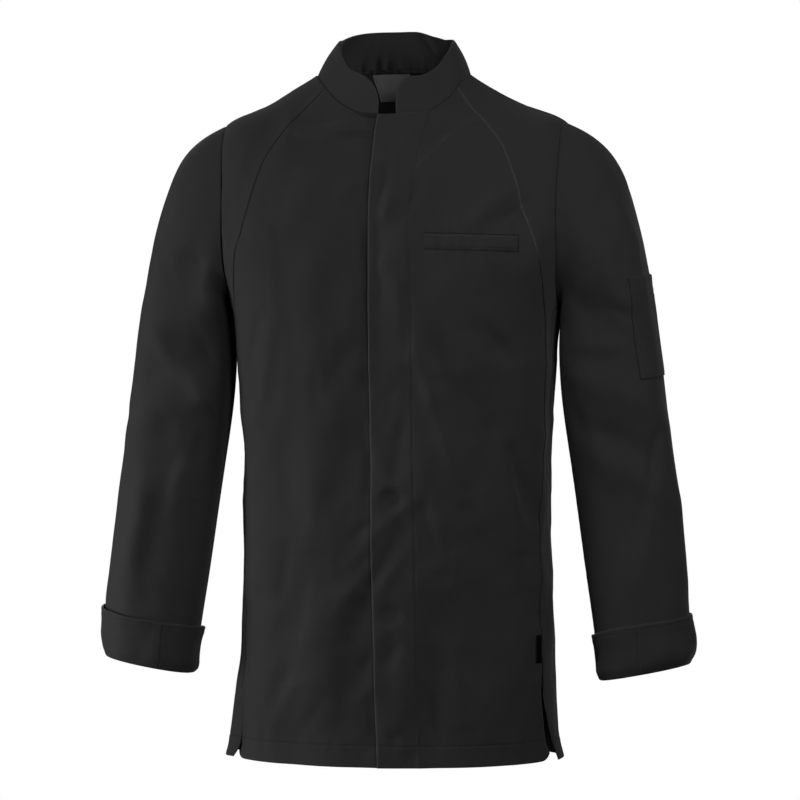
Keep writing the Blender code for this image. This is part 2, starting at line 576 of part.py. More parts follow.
def build_sleeves():
    turn = np.linspace(0.0, 1.0, 11)
    half = 180.0 * (1 - turn)
    angle = np.concatenate([half, -half[1:-1][::-1]])
    u = np.concatenate([np.linspace(0.0, U_CAP, 9), np.linspace(U_CAP, 0.990, 18)[1:]])
    for side, word in ((1, "left"), (-1, "right")):
        a, uu = np.meshgrid(angle, u)
        outer, n = sleeve(a, uu, side)
        inner = sleeve(a, uu, side, -CLOTH)[0]
        near = np.abs(angle) < 100.0
        GRIDS["sleeve_" + word] = (a[:, near], uu[:, near], outer[:, near], n[:, near])
        solid("sleeve_" + word, outer, inner, closed=True)
        build_cuff(word, side)


def cuff_path(angle, side):
    """Rows of the turned-back cuff: (u, distance of its middle surface from the sleeve's outside)."""
    wave = np.sin(np.radians(2 * angle + 40 * side)) + 0.5 * np.cos(np.radians(angle))
    top = CUFF_TOP + CUFF_TOP_WAVE * wave
    level = np.ones_like(top)
    rows = [(top, 0.0026), (top * 0.6 + 0.990 * 0.4, 0.0020), (CUFF_FOLD * level, 0.00145)]
    for turn in (45.0, 90.0, 135.0):
        c, s = math.cos(math.radians(turn)), math.sin(math.radians(turn))
        rows.append(((CUFF_FOLD + s * CUFF_FOLD_RADIUS / SLEEVE_LENGTH) * level,
                     -CLOTH / 2 + CUFF_FOLD_RADIUS * c))
    rows.append((CUFF_FOLD * level, -CLOTH / 2 - CUFF_FOLD_RADIUS))
    rows.append(((CUFF_FOLD - CUFF_INSIDE) * level, -CLOTH / 2 - CUFF_FOLD_RADIUS))
    return rows


def build_cuff(word, side):
    """Band folded round the end of the sleeve, open at its own seam."""
    angle = CUFF_SEAM - np.concatenate([[0.15], np.arange(18.0, 360.0, 18.0), [359.85]])
    rows = cuff_path(angle, side)
    middle = np.stack([sleeve(angle, u, side, d)[0] for u, d in rows])
    along = np.gradient(middle, axis=0)
    around = np.gradient(middle, axis=1)
    n = np.cross(along, around)
    n /= np.linalg.norm(n, axis=-1, keepdims=True)
    solid("cuff_" + word, middle + n * CUFF / 2, middle - n * CUFF / 2)


# ---- collar --------------------------------------------------------------
_lean = spline([s[0] for s in COLLAR_STATIONS], [s[1] for s in COLLAR_STATIONS])
_stand = spline([s[0] for s in COLLAR_STATIONS], [s[2] for s in COLLAR_STATIONS])


def collar_point(q, h):
    """Collar's outside at q degrees round, h from 0 at its seam to 1 at its top edge."""
    q, h = np.broadcast_arrays(np.asarray(q, float), np.asarray(h, float))
    base = torso_base(q, 1.0 + 0 * q)
    inward = -base * np.array([1.0, 1.0, 0.0])
    inward /= np.linalg.norm(inward, axis=-1, keepdims=True)
    lean, stand = _lean(np.abs(q)), _stand(np.abs(q))
    bow = 0.0025 * np.sin(np.pi * h) * smooth(20.0, 80.0, np.abs(q))
    return (base + inward * (lean * h - bow)[..., None]
            + np.array([0.0, 0.0, 1.0]) * (stand * h + 0.0006)[..., None])


def build_collar():
    height = np.array([0.0, 0.25, 0.5, 0.68, 0.84, 0.95, 1.0])
    over = np.clip((height - 0.55) / 0.45, 0.0, 1.0)
    back_off = COLLAR_ROUND * (1 - np.sqrt(np.clip(1 - over ** 2, 0.0, 1.0)))
    end_q = q_at_x(COLLAR_GAP_X + back_off, 1.0)
    w = np.linspace(0.0, 1.0, 35)
    q = end_q[:, None] * (1 - w) + (360.0 - end_q[:, None]) * w
    q = (q + 180.0) % 360.0 - 180.0
    h = np.repeat(height[:, None], len(w), 1)
    outer = collar_point(q, h)
    n = normals(collar_point, q, np.clip(h, 0.02, 0.98), 1.0, 0.02)
    solid("collar", outer, outer - n * COLLAR)


# ---- pieces sewn on ------------------------------------------------------
def front_overlay(name, corners, columns, rows, out, thick, **look):
    """Patch laid on the left front; corners (x, z) bottom left, bottom right, top left, top right."""
    (x0, z0), (x1, z1), (x2, z2), (x3, z3) = corners
    s, t = np.meshgrid(np.linspace(0, 1, columns + 1), np.linspace(0, 1, rows + 1))
    x = (x0 * (1 - s) + x1 * s) * (1 - t) + (x2 * (1 - s) + x3 * s) * t
    z = (z0 * (1 - s) + z1 * s) * (1 - t) + (z2 * (1 - s) + z3 * s) * t
    v = np.vectorize(v_at)(x, z)
    return laid_on(("front_left", name), q_at_x(x, v), v, out, thick, **look)


def build_small():
    front_overlay("chest_welt", WELT, 10, 2, WELT_OFF, WELT_THICK)
    v = np.array([v_at(TAB_X, height) for height in TAB_HEIGHTS])
    right = raglan_q(v) - 0.6
    left = right - degrees_for(right, v, TAB_WIDTH)
    laid_on(("front_left", "side_tab"), np.stack([left, right], 1), np.stack([v, v], 1),
            TAB_OFF, TAB_THICK, colour=(0.006, 0.006, 0.006), roughness=0.6)
    build_neck_label()
    angle, t = np.meshgrid(POCKET_DEGREES, np.linspace(0.0, 1.0, 9))
    height = POCKET_LOW + (POCKET_TOP - POCKET_LOW) * t - POCKET_SLANT * np.sin(np.radians(angle))
    laid_on(("sleeve_left", "sleeve_pocket"), angle, sleeve_u_at(angle, height), POCKET_OFF, POCKET_THICK)
    for i, height in enumerate(STUD_HEIGHTS):
        build_stud(f"stud_{i + 1}", height)


def build_neck_label():
    w = np.linspace(0.0, 1.0, 5)
    v = np.array([v_at(0.0, height, front=False) for height in LABEL_HEIGHTS])
    centre_back = np.full_like(v, 180.0)
    half = degrees_for(centre_back, v, LABEL_HALF_WIDTH)
    middle = centre_back + degrees_for(centre_back, v, LABEL_OFF_CENTRE)
    q = (middle - half)[:, None] * (1 - w) + (middle + half)[:, None] * w
    laid_on(("back", "neck_label"), q, np.repeat(v[:, None], 5, 1),
            -CLOTH - LABEL_OFF - LABEL_THICK, LABEL_THICK, colour=(0.080, 0.080, 0.082), roughness=0.7)


def build_stud(name, height):
    """Closed stud between the two lapped fronts."""
    ring = np.radians(np.arange(0.0, 360.0, 36.0))
    x = STUD_X + STUD_RADIUS * np.cos(ring)
    v = np.vectorize(v_at)(x, height + STUD_RADIUS * np.sin(ring))
    outer, inner = (torso(q_at_x(x, v), v, depth)[0] for depth in STUD_DEPTHS)
    disc(name, outer, inner)


def disc(name, outer, inner):
    """Two faces and a rim, from two rings of points."""
    n = len(outer)
    faces = [tuple(range(n)), tuple(range(2 * n - 1, n - 1, -1))]
    faces += [(j, j + n, (j + 1) % n + n, (j + 1) % n) for j in range(n)]
    triangles = [(f[0], f[k], f[k + 1]) for f in faces for k in range(1, len(f) - 1)]
    add_closed(name, np.concatenate([outer, inner]), triangles, (0.30, 0.30, 0.31), 0.35)


_u_dense = np.linspace(0.0, 1.0, 301)


def sleeve_u_at(angle, z):
    """How far along the sleeve a height is, at an angle."""
    out = np.zeros(np.shape(angle))
    for i in np.ndindex(np.shape(angle)):
        heights = sleeve_base(np.full_like(_u_dense, angle[i]), _u_dense)[:, 2]
        out[i] = np.interp(-z[i], -heights, _u_dense)
    return out


def build():
    for item in list(bpy.data.objects):
        bpy.data.objects.remove(item)
    build_torso()
    build_sleeves()
    build_collar()
    build_small()


build()
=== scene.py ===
"""Chef jacket, worn and hollow: its cloth, seams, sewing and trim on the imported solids.

Metres, +Z up, the wearer faces -Y and the wearer's left is +X. The torso is one
surface and each sleeve another. Every panel is a thin closed shell cut from its
surface along the real seams. It has its solid's large folds, and finer creases,
seam ridges, puckers and stitches of its own.
"""
import itertools
import math

import bmesh
import bpy
import numpy as np
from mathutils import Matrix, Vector


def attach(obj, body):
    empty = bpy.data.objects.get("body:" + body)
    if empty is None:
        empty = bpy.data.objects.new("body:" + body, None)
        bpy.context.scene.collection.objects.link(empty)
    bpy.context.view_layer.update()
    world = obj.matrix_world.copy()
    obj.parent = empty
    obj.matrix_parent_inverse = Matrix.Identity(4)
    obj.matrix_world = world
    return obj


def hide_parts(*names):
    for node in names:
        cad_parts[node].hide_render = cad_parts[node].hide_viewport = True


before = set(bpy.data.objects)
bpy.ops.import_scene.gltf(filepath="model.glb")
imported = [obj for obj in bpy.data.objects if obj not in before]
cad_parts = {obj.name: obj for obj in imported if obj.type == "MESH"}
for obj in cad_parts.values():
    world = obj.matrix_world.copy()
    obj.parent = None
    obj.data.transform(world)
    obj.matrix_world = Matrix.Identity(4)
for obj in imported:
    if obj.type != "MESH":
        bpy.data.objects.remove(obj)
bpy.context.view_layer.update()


def tenths(*rows):
    """A table in tenths of a millimetre, as metres."""
    return np.array(rows) / 10000


def round_sleeve(*rows):
    """Folds of a sleeve: their degrees round it count as thousandths."""
    return np.array(rows) / (1000, 10000, 1000, 10000, 10000, 10000)


CLOTH = 0.0010          # thickness of the shells
COLLAR = 0.0020         # two layers and interlining
CUFF = 0.0015
SEAM = 0.00002          # each piece stops this far short of a shared seam
HEM_Z = -0.772
CELL = 0.0033           # usual size of the cloth's facets
BACK_CELL = 0.0040

# ---- the cut, as in the solids -------------------------------------------
LEVEL_COLUMNS = ("z_front", "z_side", "z_back", "half_width", "front_depth",
                 "back_depth", "squareness", "rise_power")
LEVELS = (
    ("hem", -0.773, -0.770, -0.772, 0.1785, 0.1150, 0.1170, 2.30, 1.6),
    ("vent top", -0.690, -0.690, -0.690, 0.1795, 0.1135, 0.1160, 2.30, 2.0),
    ("hip", -0.620, -0.620, -0.620, 0.1782, 0.1120, 0.1120, 2.30, 2.0),
    ("low waist", -0.550, -0.550, -0.550, 0.1755, 0.1110, 0.1060, 2.30, 2.0),
    ("waist", -0.480, -0.479, -0.479, 0.1750, 0.1120, 0.1030, 2.34, 2.0),
    ("high waist", -0.412, -0.408, -0.408, 0.1768, 0.1155, 0.1060, 2.42, 2.0),
    ("ribs", -0.348, -0.340, -0.340, 0.1805, 0.1215, 0.1110, 2.60, 2.0),
    ("underarm", -0.280, -0.262, -0.262, 0.1862, 0.1290, 0.1160, 2.85, 2.0),
    ("low armhole", -0.238, -0.215, -0.215, 0.1990, 0.1300, 0.1160, 3.05, 2.0),
    ("mid armhole", -0.192, -0.155, -0.157, 0.2105, 0.1260, 0.1130, 3.10, 2.0),
    ("high armhole", -0.152, -0.097, -0.110, 0.2100, 0.1195, 0.1070, 2.95, 2.0),
    ("shoulder tip", -0.118, -0.0515, -0.068, 0.1950, 0.1120, 0.0985, 2.70, 2.0),
    ("outer shoulder", -0.095, -0.0355, -0.041, 0.1610, 0.1045, 0.0895, 2.50, 2.1),
    ("inner shoulder", -0.069, -0.0180, -0.010, 0.1220, 0.0960, 0.0780, 2.30, 2.4),
    ("neck seam", -0.046, 0.0050, 0.0155, 0.0870, 0.0880, 0.0660, 2.20, 2.9),
)
SLEEVE_COLUMNS = ("outer_x", "outer_z", "inner_x", "inner_z", "half_depth", "middle_y")
SLEEVE = (
    ("armhole", 0.1950, -0.0512, 0.1866, -0.2620, 0.0700, -0.003),
    ("cap 1", 0.2128, -0.0595, 0.1884, -0.2632, 0.0705, -0.003),
    ("cap 2", 0.2308, -0.0720, 0.1888, -0.2650, 0.0705, -0.003),
    ("cap 3", 0.2480, -0.0920, 0.1888, -0.2675, 0.0700, -0.003),
    ("cap 4", 0.2612, -0.1200, 0.1886, -0.2710, 0.0690, -0.003),
    ("cap 5", 0.2725, -0.1550, 0.1883, -0.2755, 0.0680, -0.004),
    ("upper arm", 0.2843, -0.2050, 0.1877, -0.2850, 0.0660, -0.004),
    ("biceps", 0.2930, -0.2550, 0.1870, -0.3050, 0.0640, -0.005),
    ("above elbow", 0.3020, -0.3250, 0.1897, -0.3600, 0.0605, -0.006),
    ("elbow", 0.3100, -0.3950, 0.1982, -0.4260, 0.0580, -0.008),
    ("forearm", 0.3180, -0.4650, 0.2073, -0.4940, 0.0545, -0.013),
    ("low forearm", 0.3250, -0.5350, 0.2160, -0.5620, 0.0510, -0.019),
    ("wrist", 0.3305, -0.5980, 0.2242, -0.6240, 0.0480, -0.025),
    ("end", 0.3325, -0.6580, 0.2290, -0.6770, 0.0460, -0.030),
)
LEFT_ARM_HANGS = (0.0035, 0.0, -0.0035)
SLEEVE_FULL = 0.20          # how much squarer than an ellipse the sleeve's rings are
SLEEVE_BESIDE = 0.22        # and how much more so at the front beside the body
SLEEVE_REACH = 0.058        # the sleeves' usual radius
RAGLAN = tenths(            # x and z, like the top front's edge below
    (765, -150), (880, -300), (1085, -530), (1260, -750), (1385, -980), (1460, -1200),
    (1520, -1420), (1590, -1645), (1655, -1870), (1705, -2090), (1735, -2310), (1750, -2530),
    (1748, -3090), (1730, -3650), (1702, -4200), (1675, -5000), (1668, -5880), (1680, -6435),
    (1690, -6900), (1720, -7350), (1750, -7720))
TOP_EDGE = tenths(
    (-100, -460), (-130, -750), (-152, -1200), (-160, -2000), (-152, -3000), (-145, -4000),
    (-130, -5400), (-115, -6400), (-90, -7200), (-65, -7720))
UNDER_EDGE_X = 0.030
PLACKET_X = 0.036
SIDE_SEAM = ((-0.772, 117.0), (-0.690, 113.0), (-0.600, 108.0), (-0.480, 103.0),
             (-0.360, 97.0), (-0.300, 93.0), (-0.262, 90.0))       # z, degrees round
ARMHOLE_FRONT, ARMHOLE_BACK = 34.0, 33.0
SHOULDER_SEAM = 78.0
VENT_TOP, VENT_END = -0.688, 0.006
FLARE_TOP, FLARE_LENGTH = -0.655, 0.115
FLARE_LEFT, FLARE_RIGHT = 0.0092, 0.0150
VENT_LAP = {1: -1.5, -1: 4.0}    # degrees by which a vent's rear edge passes the seam
VENT_RISE = 0.10            # share of the flare by which the vent's corner also lifts
CORNER_LIFT, CORNER_WIDTH, CORNER_HEIGHT = 0.0075, 0.0075, 0.0140    # a front's round corner
NECK_SHIFT_FRONT, NECK_SHIFT_BACK = 0.0035, 0.0045
NECK_LEVEL, NECK_DROP, NECK_DROP_X = 0.93, 0.0040, (0.015, 0.045, 0.060, 0.080)
TOP_LIFT, UNDER_SINK = 0.0016, 0.0020
WELT = ((0.047, -0.1985), (0.150, -0.2015), (0.047, -0.1815), (0.150, -0.1845))
STUD_X = 0.010
STUD_HEIGHTS = (-0.085, -0.215, -0.345, -0.475, -0.605, -0.725)
STUD_CALM = 0.012           # no fine crease is nearer to a stud than this
TAB_X, TAB_WIDTH, TAB_LENGTH = 0.168, 0.0085, 0.031
TAB_LOW, TAB_TOP = -0.6590, -0.6280
TACK_X, TACK_TOP, TACK_LOW = -0.0215, -0.0500, -0.0565      # bar tack of the placket's top
LABEL_LOW, LABEL_TOP, LABEL_TALL = -0.0175, 0.0142, 0.032
LABEL_HALF_WIDTH, LABEL_OFF_CENTRE = 0.0215, 0.0090
POCKET_DEGREES = (58.0, -28.0)
POCKET_TOP, POCKET_LOW, POCKET_SLANT, POCKET_REACH = -0.2236, -0.3370, 0.006, 0.060
CUFF_TOP, CUFF_TOP_WAVE, CUFF_FOLD = 0.896, 0.004, 0.9920
CUFF_FOLD_RADIUS, CUFF_TALL, CUFF_REACH = 0.00205, 0.052, 0.05
CUFF_INSIDE = 0.020
CUFF_SEAM = {1: 92.0, -1: 109.0}
CUFF_ROUND = 0.0024         # how far the sleeve's end draws in at the cuff's fold
CUFF_BELLY = {1: 0.0044, -1: 0.0022}
CUFF_OFF = (0.0026, 0.00145)     # how far its middle is off the sleeve, at its top and fold
COLLAR_STATIONS = (         # degrees round, lean inwards, height
    (0.0, 0.0080, 0.0435), (20.0, 0.0100, 0.0430), (40.0, 0.0150, 0.0395),
    (60.0, 0.0205, 0.0365), (80.0, 0.0240, 0.0370), (95.0, 0.0240, 0.0385),
    (120.0, 0.0190, 0.0410), (150.0, 0.0100, 0.0440), (180.0, 0.0060, 0.0445))
COLLAR_GAP_X = 0.0105
COLLAR_TALL, COLLAR_REACH, COLLAR_ROUND = 0.042, 0.070, 0.42
COLLAR_ROUND_LEFT, COLLAR_ROUND_RIGHT = 0.024, 0.030
COLLAR_FRONT = (40.0, 70.0, 110.0, 140.0)    # degrees where its left side leans in less
NECK_FACING = 0.0030        # how far the collar's inner layer covers the neck seam

# Large folds, as in the solids: start and end (distance from the centre, height),
# reach to each side, height of the ridge (trough when negative), in tenths of a mm.
FRONT_FOLDS = tenths(
    (620, -600, -40, -1080, 150, 30), (920, -720, 300, -1500, 160, 36),
    (300, -1500, 120, -2300, 150, 26), (1340, -1350, 850, -1800, 170, 34),
    (1500, -2150, 1050, -3300, 220, 40), (450, -2150, 600, -3800, 240, -36),
    (1100, -3300, 1400, -5200, 260, -40), (500, -3700, 640, -5600, 260, 52),
    (850, -5600, 1500, -7000, 240, -34), (450, -7400, 700, -6200, 220, -42),
    (1050, -7650, 1300, -6400, 220, 36), (-200, -660, -750, -480, 130, 24),
    (-220, -1000, -880, -860, 140, -28), (-700, -1200, -1200, -1800, 180, 36),
    (-300, -1650, -700, -2900, 220, -40), (-1500, -2000, -1200, -3300, 220, 44),
    (-950, -2500, -450, -3800, 240, 36), (-300, -3500, -500, -4800, 210, -42),
    (-1500, -3900, -1380, -6000, 240, 50), (-1000, -4200, -900, -5700, 260, -40),
    (-600, -5400, -850, -7000, 240, 42), (-250, -6000, -450, -7200, 200, -44),
    (-1200, -6400, -1000, -7650, 220, -36), (-1450, -6800, -1500, -7680, 200, 34))
BACK_FOLDS = tenths(
    (-1100, -700, -400, -1200, 200, 34), (1000, -600, 500, -1300, 210, 36),
    (1500, -1800, 700, -2600, 240, 48), (-1550, -2000, -850, -2900, 230, 44),
    (1200, -2700, 600, -3800, 240, -40), (-1300, -3100, -500, -4000, 250, -44),
    (-600, -3800, -800, -5600, 270, 50), (300, -4200, 500, -6000, 280, 46),
    (1100, -4300, 1250, -6400, 260, -46), (-1300, -5000, -1100, -7000, 260, -40),
    (-200, -5600, -100, -7650, 260, -46), (800, -6200, 700, -7700, 240, 44),
    (-800, -6500, -900, -7700, 230, 40))
# On the sleeves, degrees from the outermost line (front positive) for the distance.
SLEEVE_FOLDS_LEFT = round_sleeve(
    (70, -900, 30, -1900, 170, 32), (110, -1300, 75, -2600, 180, 44),
    (125, -2400, 60, -3000, 170, -42), (130, -3300, 40, -3800, 190, 50),
    (120, -3900, 55, -4300, 170, -52), (100, -4300, 30, -4800, 180, 46),
    (60, -4800, 95, -6000, 200, 42), (20, -4000, 10, -5600, 200, 38),
    (-60, -1100, -40, -2400, 200, 40), (-110, -1700, -60, -2900, 200, -42),
    (-120, -3200, -50, -3700, 190, 52), (-110, -3900, -30, -4200, 180, -50),
    (-100, -4500, -40, -5200, 200, 44))
SLEEVE_FOLDS_RIGHT = round_sleeve(
    (60, -950, 85, -2000, 180, 36), (115, -1500, 80, -2500, 180, -40),
    (120, -2600, 45, -3000, 180, 42), (125, -3100, 50, -3500, 180, -50),
    (110, -3600, 30, -4050, 190, 52), (120, -4200, 60, -4500, 180, -48),
    (90, -4500, 50, -5900, 210, 44), (25, -4400, 15, -6000, 190, 40),
    (-70, -1000, -35, -2200, 200, 42), (-115, -1900, -70, -3000, 190, -40),
    (-125, -3400, -45, -3950, 190, 50), (-105, -4100, -35, -4350, 180, -46),
    (-95, -4700, -50, -5600, 200, 40))

# Finer creases, only here.
FRONT_CREASES = tenths(
    # the wearer's right: pulls from the closed neck, then slack under the placket's edge
    (-620, -750, -160, -690, 55, -32), (-990, -650, -170, -620, 50, 30),
    (-1000, -530, -380, -480, 60, -30), (-470, -1320, -200, -1170, 100, 36),
    (-130, -1880, -110, -3040, 200, -62), (-1250, -2770, -1440, -3870, 90, 36),
    (-1390, -2700, -1610, -3420, 70, -22), (-400, -3100, -680, -3650, 160, -52),
    (-1070, -5300, -1210, -5890, 80, -24), (-150, -4090, -180, -4650, 60, -26),
    (-380, -5490, -140, -5210, 80, 21), (-350, -5200, -170, -5010, 60, -22),
    (-560, -6050, -140, -5490, 90, 25), (-450, -6370, -150, -5780, 95, -28),
    (-250, -6660, -160, -6480, 60, -26), (-330, -7040, -140, -6800, 90, 22),
    (-140, -6980, -110, -7500, 60, -30), (-1020, -6670, -790, -6140, 120, 25),
    (-1330, -7030, -1140, -6690, 100, -21), (-1270, -7280, -990, -6750, 90, 20),
    (-970, -7390, -690, -6990, 100, -18),
    # the wearer's left chest: creases that run down from the shoulder to the placket
    (-40, -940, 180, -680, 60, 22), (180, -680, 780, -390, 65, 20),
    (310, -890, 660, -610, 70, -26),
    (370, -1110, 540, -940, 40, 24), (540, -940, 790, -680, 40, 24),
    (790, -680, 1050, -490, 50, 13), (610, -810, 1370, -830, 80, 24),
    (1060, -1650, 1430, -1260, 100, 60), (1330, -1710, 1580, -1490, 80, -48),
    (320, -1290, 240, -1650, 60, -36), (180, -1280, 0, -1640, 90, 54),
    (30, -1050, -70, -1430, 80, -30),
    # below the welt
    (280, -2430, 300, -3040, 60, -36), (1430, -2130, 1160, -2870, 200, -70),
    (370, -3040, 560, -3600, 110, 66), (560, -3600, 870, -4700, 110, 66),
    (1010, -3040, 1130, -3770, 120, 44), (1220, -2920, 1370, -3210, 90, -44),
    (1410, -4230, 1610, -4990, 80, -48), (1260, -4100, 1490, -5270, 90, 34),
    (440, -4870, 550, -5380, 90, -54), (1490, -5430, 1640, -6110, 80, -40),
    # on the placket
    (-30, -4090, 50, -4530, 80, 13), (220, -3870, 120, -4480, 65, -18),
    (-140, -5180, 230, -4840, 70, 17), (-120, -5690, 200, -5090, 80, -24),
    (-90, -5870, 280, -5290, 80, 18), (30, -6590, 140, -6360, 85, -26),
    (-60, -6310, 120, -6040, 85, 13),
    # broad ones
    (-800, -3760, -860, -5200, 260, 60), (-750, -1700, -740, -3000, 180, 28),
    (980, -4000, 1020, -4900, 400, 50), (1050, -1900, 1600, -1920, 400, 40),
    (-1500, -5350, 1100, -5100, 700, 50), (-850, -5000, -900, -5400, 450, 45),
    (800, -4700, 1000, -5200, 500, 45), (-40, -1100, -35, -2600, 60, -24),
    # above the hem
    (820, -5430, 950, -6310, 140, 44), (730, -6420, 870, -7190, 120, 40),
    (460, -6860, 580, -7470, 100, -44))
BACK_CREASES = tenths(
    (200, -300, 120, -900, 85, -22), (-300, -280, -440, -800, 80, 22),
    (1580, -2400, 1100, -2720, 90, -30), (-1600, -2550, -1160, -3000, 90, 30),
    (-300, -4700, -480, -5600, 100, -28), (600, -5000, 700, -6000, 100, 28))
SLEEVE_CREASES_RIGHT = round_sleeve(
    (26, -3900, 28, -5600, 200, -36), (70, -4400, 76, -6000, 150, 42),
    (67, -2860, 112, -3620, 90, 48), (112, -3620, 132, -3740, 80, 34),
    (98, -2860, 128, -3330, 110, -48), (63, -2060, 106, -2120, 80, -28),
    (114, -2280, 130, -2340, 80, 22), (48, -1170, 67, -1380, 70, -22),
    (96, -4300, 90, -4920, 60, -28), (110, -3990, 109, -4440, 100, 22),
    (86, -4560, 88, -5520, 90, -30), (26, -4640, 138, -4770, 40, 10),
    (110, -5800, 131, -6010, 80, -26), (-80, -3000, -40, -3300, 80, -34),
    (-100, -3800, -50, -4020, 75, 34), (-90, -5000, -60, -5600, 80, -28),
    (-70, -2000, -95, -2500, 80, 26))
SLEEVE_CREASES_LEFT = round_sleeve(
    (92, -4100, 100, -5400, 170, -42), (41, -4030, 91, -5220, 75, -42),
    (112, -3700, 100, -4530, 120, 30), (83, -2630, 55, -2730, 90, -34),
    (108, -3070, 82, -3030, 90, 28), (68, -1340, 58, -1320, 90, 30),
    (65, -1570, 46, -1320, 70, -26), (0, -890, 0, -1280, 70, 20), (85, -5240, 88, -5730, 100, 22),
    (73, -4810, 60, -4420, 80, 22), (-75, -2800, -45, -3180, 80, 30),
    (-105, -3600, -55, -3850, 80, -34), (-95, -4200, -50, -4500, 80, 30),
    (-80, -5200, -70, -5800, 90, -26))
CUFF_CREASES = {            # place round the band from its seam, distance below its top edge
    1: tenths((200, 100, 320, 500, 80, 7), (1100, 80, 1000, 460, 100, -8),
              (1900, 120, 2000, 500, 100, 8), (2620, 100, 2500, 480, 90, -7)),
    -1: tenths((140, 120, 200, 480, 80, -8), (700, 100, 640, 440, 100, 8),
               (1500, 80, 1600, 500, 100, -8), (2300, 120, 2240, 460, 100, 8)),
}
COLLAR_FOLDS = tenths(      # on its inside: degrees round / 1000, height share / 20
    (1560, 480, 1460, 300, 50, 30), (1460, 300, 1430, 40, 50, 34),
    (1320, 340, 1290, 60, 40, 20), (-1600, 400, -1580, 100, 50, 14))

# Degrees round, on each half: where the front's folds end, the back's begin, the arm hangs,
# and the body is drawn in below the right arm.
FRONT_END, BACK_START = (62.0, 86.0), (98.0, 120.0)
BY_ARM, DRAWN_IN = (46.0, 64.0, 116.0, 134.0), (66.0, 82.0, 104.0, 124.0)
DRAWN_DEPTH, DRAWN_Z, DRAWN_REACH = 0.0030, -0.318, 0.045
SHOULDER_RISE, SHOULDER_X, SHOULDER_REACH = 0.0035, -0.120, 0.028

# Placket stitch line: height, distance from the top front's edge.
PLACKET_STITCH = ((-0.772, 0.0490), (-0.600, 0.0478), (-0.400, 0.0474), (-0.250, 0.0470),
                  (-0.140, 0.0455), (-0.092, 0.0520), (-0.050, 0.0590))
HEM_STITCH, VENT_STITCH, CUFF_STITCH, COLLAR_STITCH = 0.0230, 0.0090, 0.0045, 0.0024
WELT_STITCH, POCKET_STITCH, POCKET_HEM, LABEL_STITCH = 0.0018, 0.0018, 0.0200, 0.0020


# ---- numbers -------------------------------------------------------------
def spline(knots, values):
    """Natural cubic spline through the table; returns a function of a knot position."""
    x, y = np.asarray(knots, float), np.asarray(values, float)
    h = np.diff(x)
    slope = np.diff(y) / h
    a, r = np.eye(len(x)), np.zeros(len(x))
    for i in range(1, len(x) - 1):
        a[i, i - 1:i + 2] = h[i - 1], 2 * (h[i - 1] + h[i]), h[i]
        r[i] = 6 * (slope[i] - slope[i - 1])
    m = np.linalg.solve(a, r)

    def at(p):
        p = np.clip(np.asarray(p, float), x[0], x[-1])
        i = np.clip(np.searchsorted(x, p, side="right") - 1, 0, len(x) - 2)
        d, u = p - x[i], x[i + 1] - p
        return ((m[i] * u ** 3 + m[i + 1] * d ** 3) / (6 * h[i])
                + (y[i] / h[i] - m[i] * h[i] / 6) * u
                + (y[i + 1] / h[i] - m[i + 1] * h[i] / 6) * d)
    return at


def table_spline(pairs, column=1):
    """A column of a table as a spline of its first column."""
    return spline([row[0] for row in pairs], [row[column] for row in pairs])


def lofted(table, columns, path):
    """A table's columns as splines along a path, each row's share of it, and its length."""
    at = np.concatenate([[0.0], np.cumsum(np.hypot(*np.diff(path, axis=0).T))])
    share = at / at[-1]
    lines = {name: spline(share, [row[i + 1] for row in table]) for i, name in enumerate(columns)}
    return lines, dict(zip((row[0] for row in table), share)), at[-1]


def smooth(low, high, value):
    """0 before low, 1 after high, soft between; works downwards too."""
    u = np.clip((np.asarray(value, float) - low) / (high - low), 0.0, 1.0)
    return u * u * (3 - 2 * u)


def plateau(value, start, full, leave, end):
    """0 before start and after end, 1 from full to leave, soft between."""
    return smooth(start, full, value) * (1 - smooth(leave, end, value))


def bell(away, reach):
    """1 in the middle, fading to both sides."""
    return np.exp(-(away / reach) ** 2)


def unit(vectors):
    return vectors / np.maximum(np.linalg.norm(vectors, axis=-1, keepdims=True), 1e-12)


def wrap(angle):
    """Degrees between -180 and 180."""
    return (np.asarray(angle, float) + 180.0) % 360.0 - 180.0


def nearest(values, target):
    return int(np.argmin(np.abs(values - target)))


def folds(table, x, z):
    """Sum of soft ridges and troughs at each (x, z)."""
    total = np.zeros(np.broadcast(x, z).shape)
    for x0, z0, x1, z1, reach, height in table:
        dx, dz = x1 - x0, z1 - z0
        along = np.clip(((x - x0) * dx + (z - z0) * dz) / (dx * dx + dz * dz), 0.0, 1.0)
        away = np.hypot(x - x0 - along * dx, z - z0 - along * dz)
        total += height * (0.55 + 0.45 * np.sin(np.pi * along)) * bell(away, reach)
    return total


def ripple(length, seed, shortest=0.009, longest=0.030, waves=7):
    """Uneven waves along a seam, about -1 to 1."""
    rng = np.random.default_rng(seed)
    total = np.zeros(np.shape(length))
    for wave in np.geomspace(shortest, longest, waves):
        size = rng.uniform(0.4, 1.0)
        total += size * np.sin(2 * np.pi * length / wave + rng.uniform(0, 6.28))
    return total / (0.55 * waves)


def uneven(points, wave, seed):
    """Smooth random field, -1 to 1, over points in space; wave is its cells' size."""
    table = np.random.default_rng(seed).uniform(-1.0, 1.0, (32, 32, 32))
    place = points / np.asarray(wave) + 100.0
    cell = np.floor(place).astype(int)
    f = place - cell
    f = f ** 3 * (f * (6 * f - 15) + 10)
    total = 0.0
    for corner in itertools.product((0, 1), repeat=3):
        share = np.where(corner, f, 1 - f).prod(-1)
        total = total + share * table[tuple(np.moveaxis((cell + corner) % 32, -1, 0))]
    return total


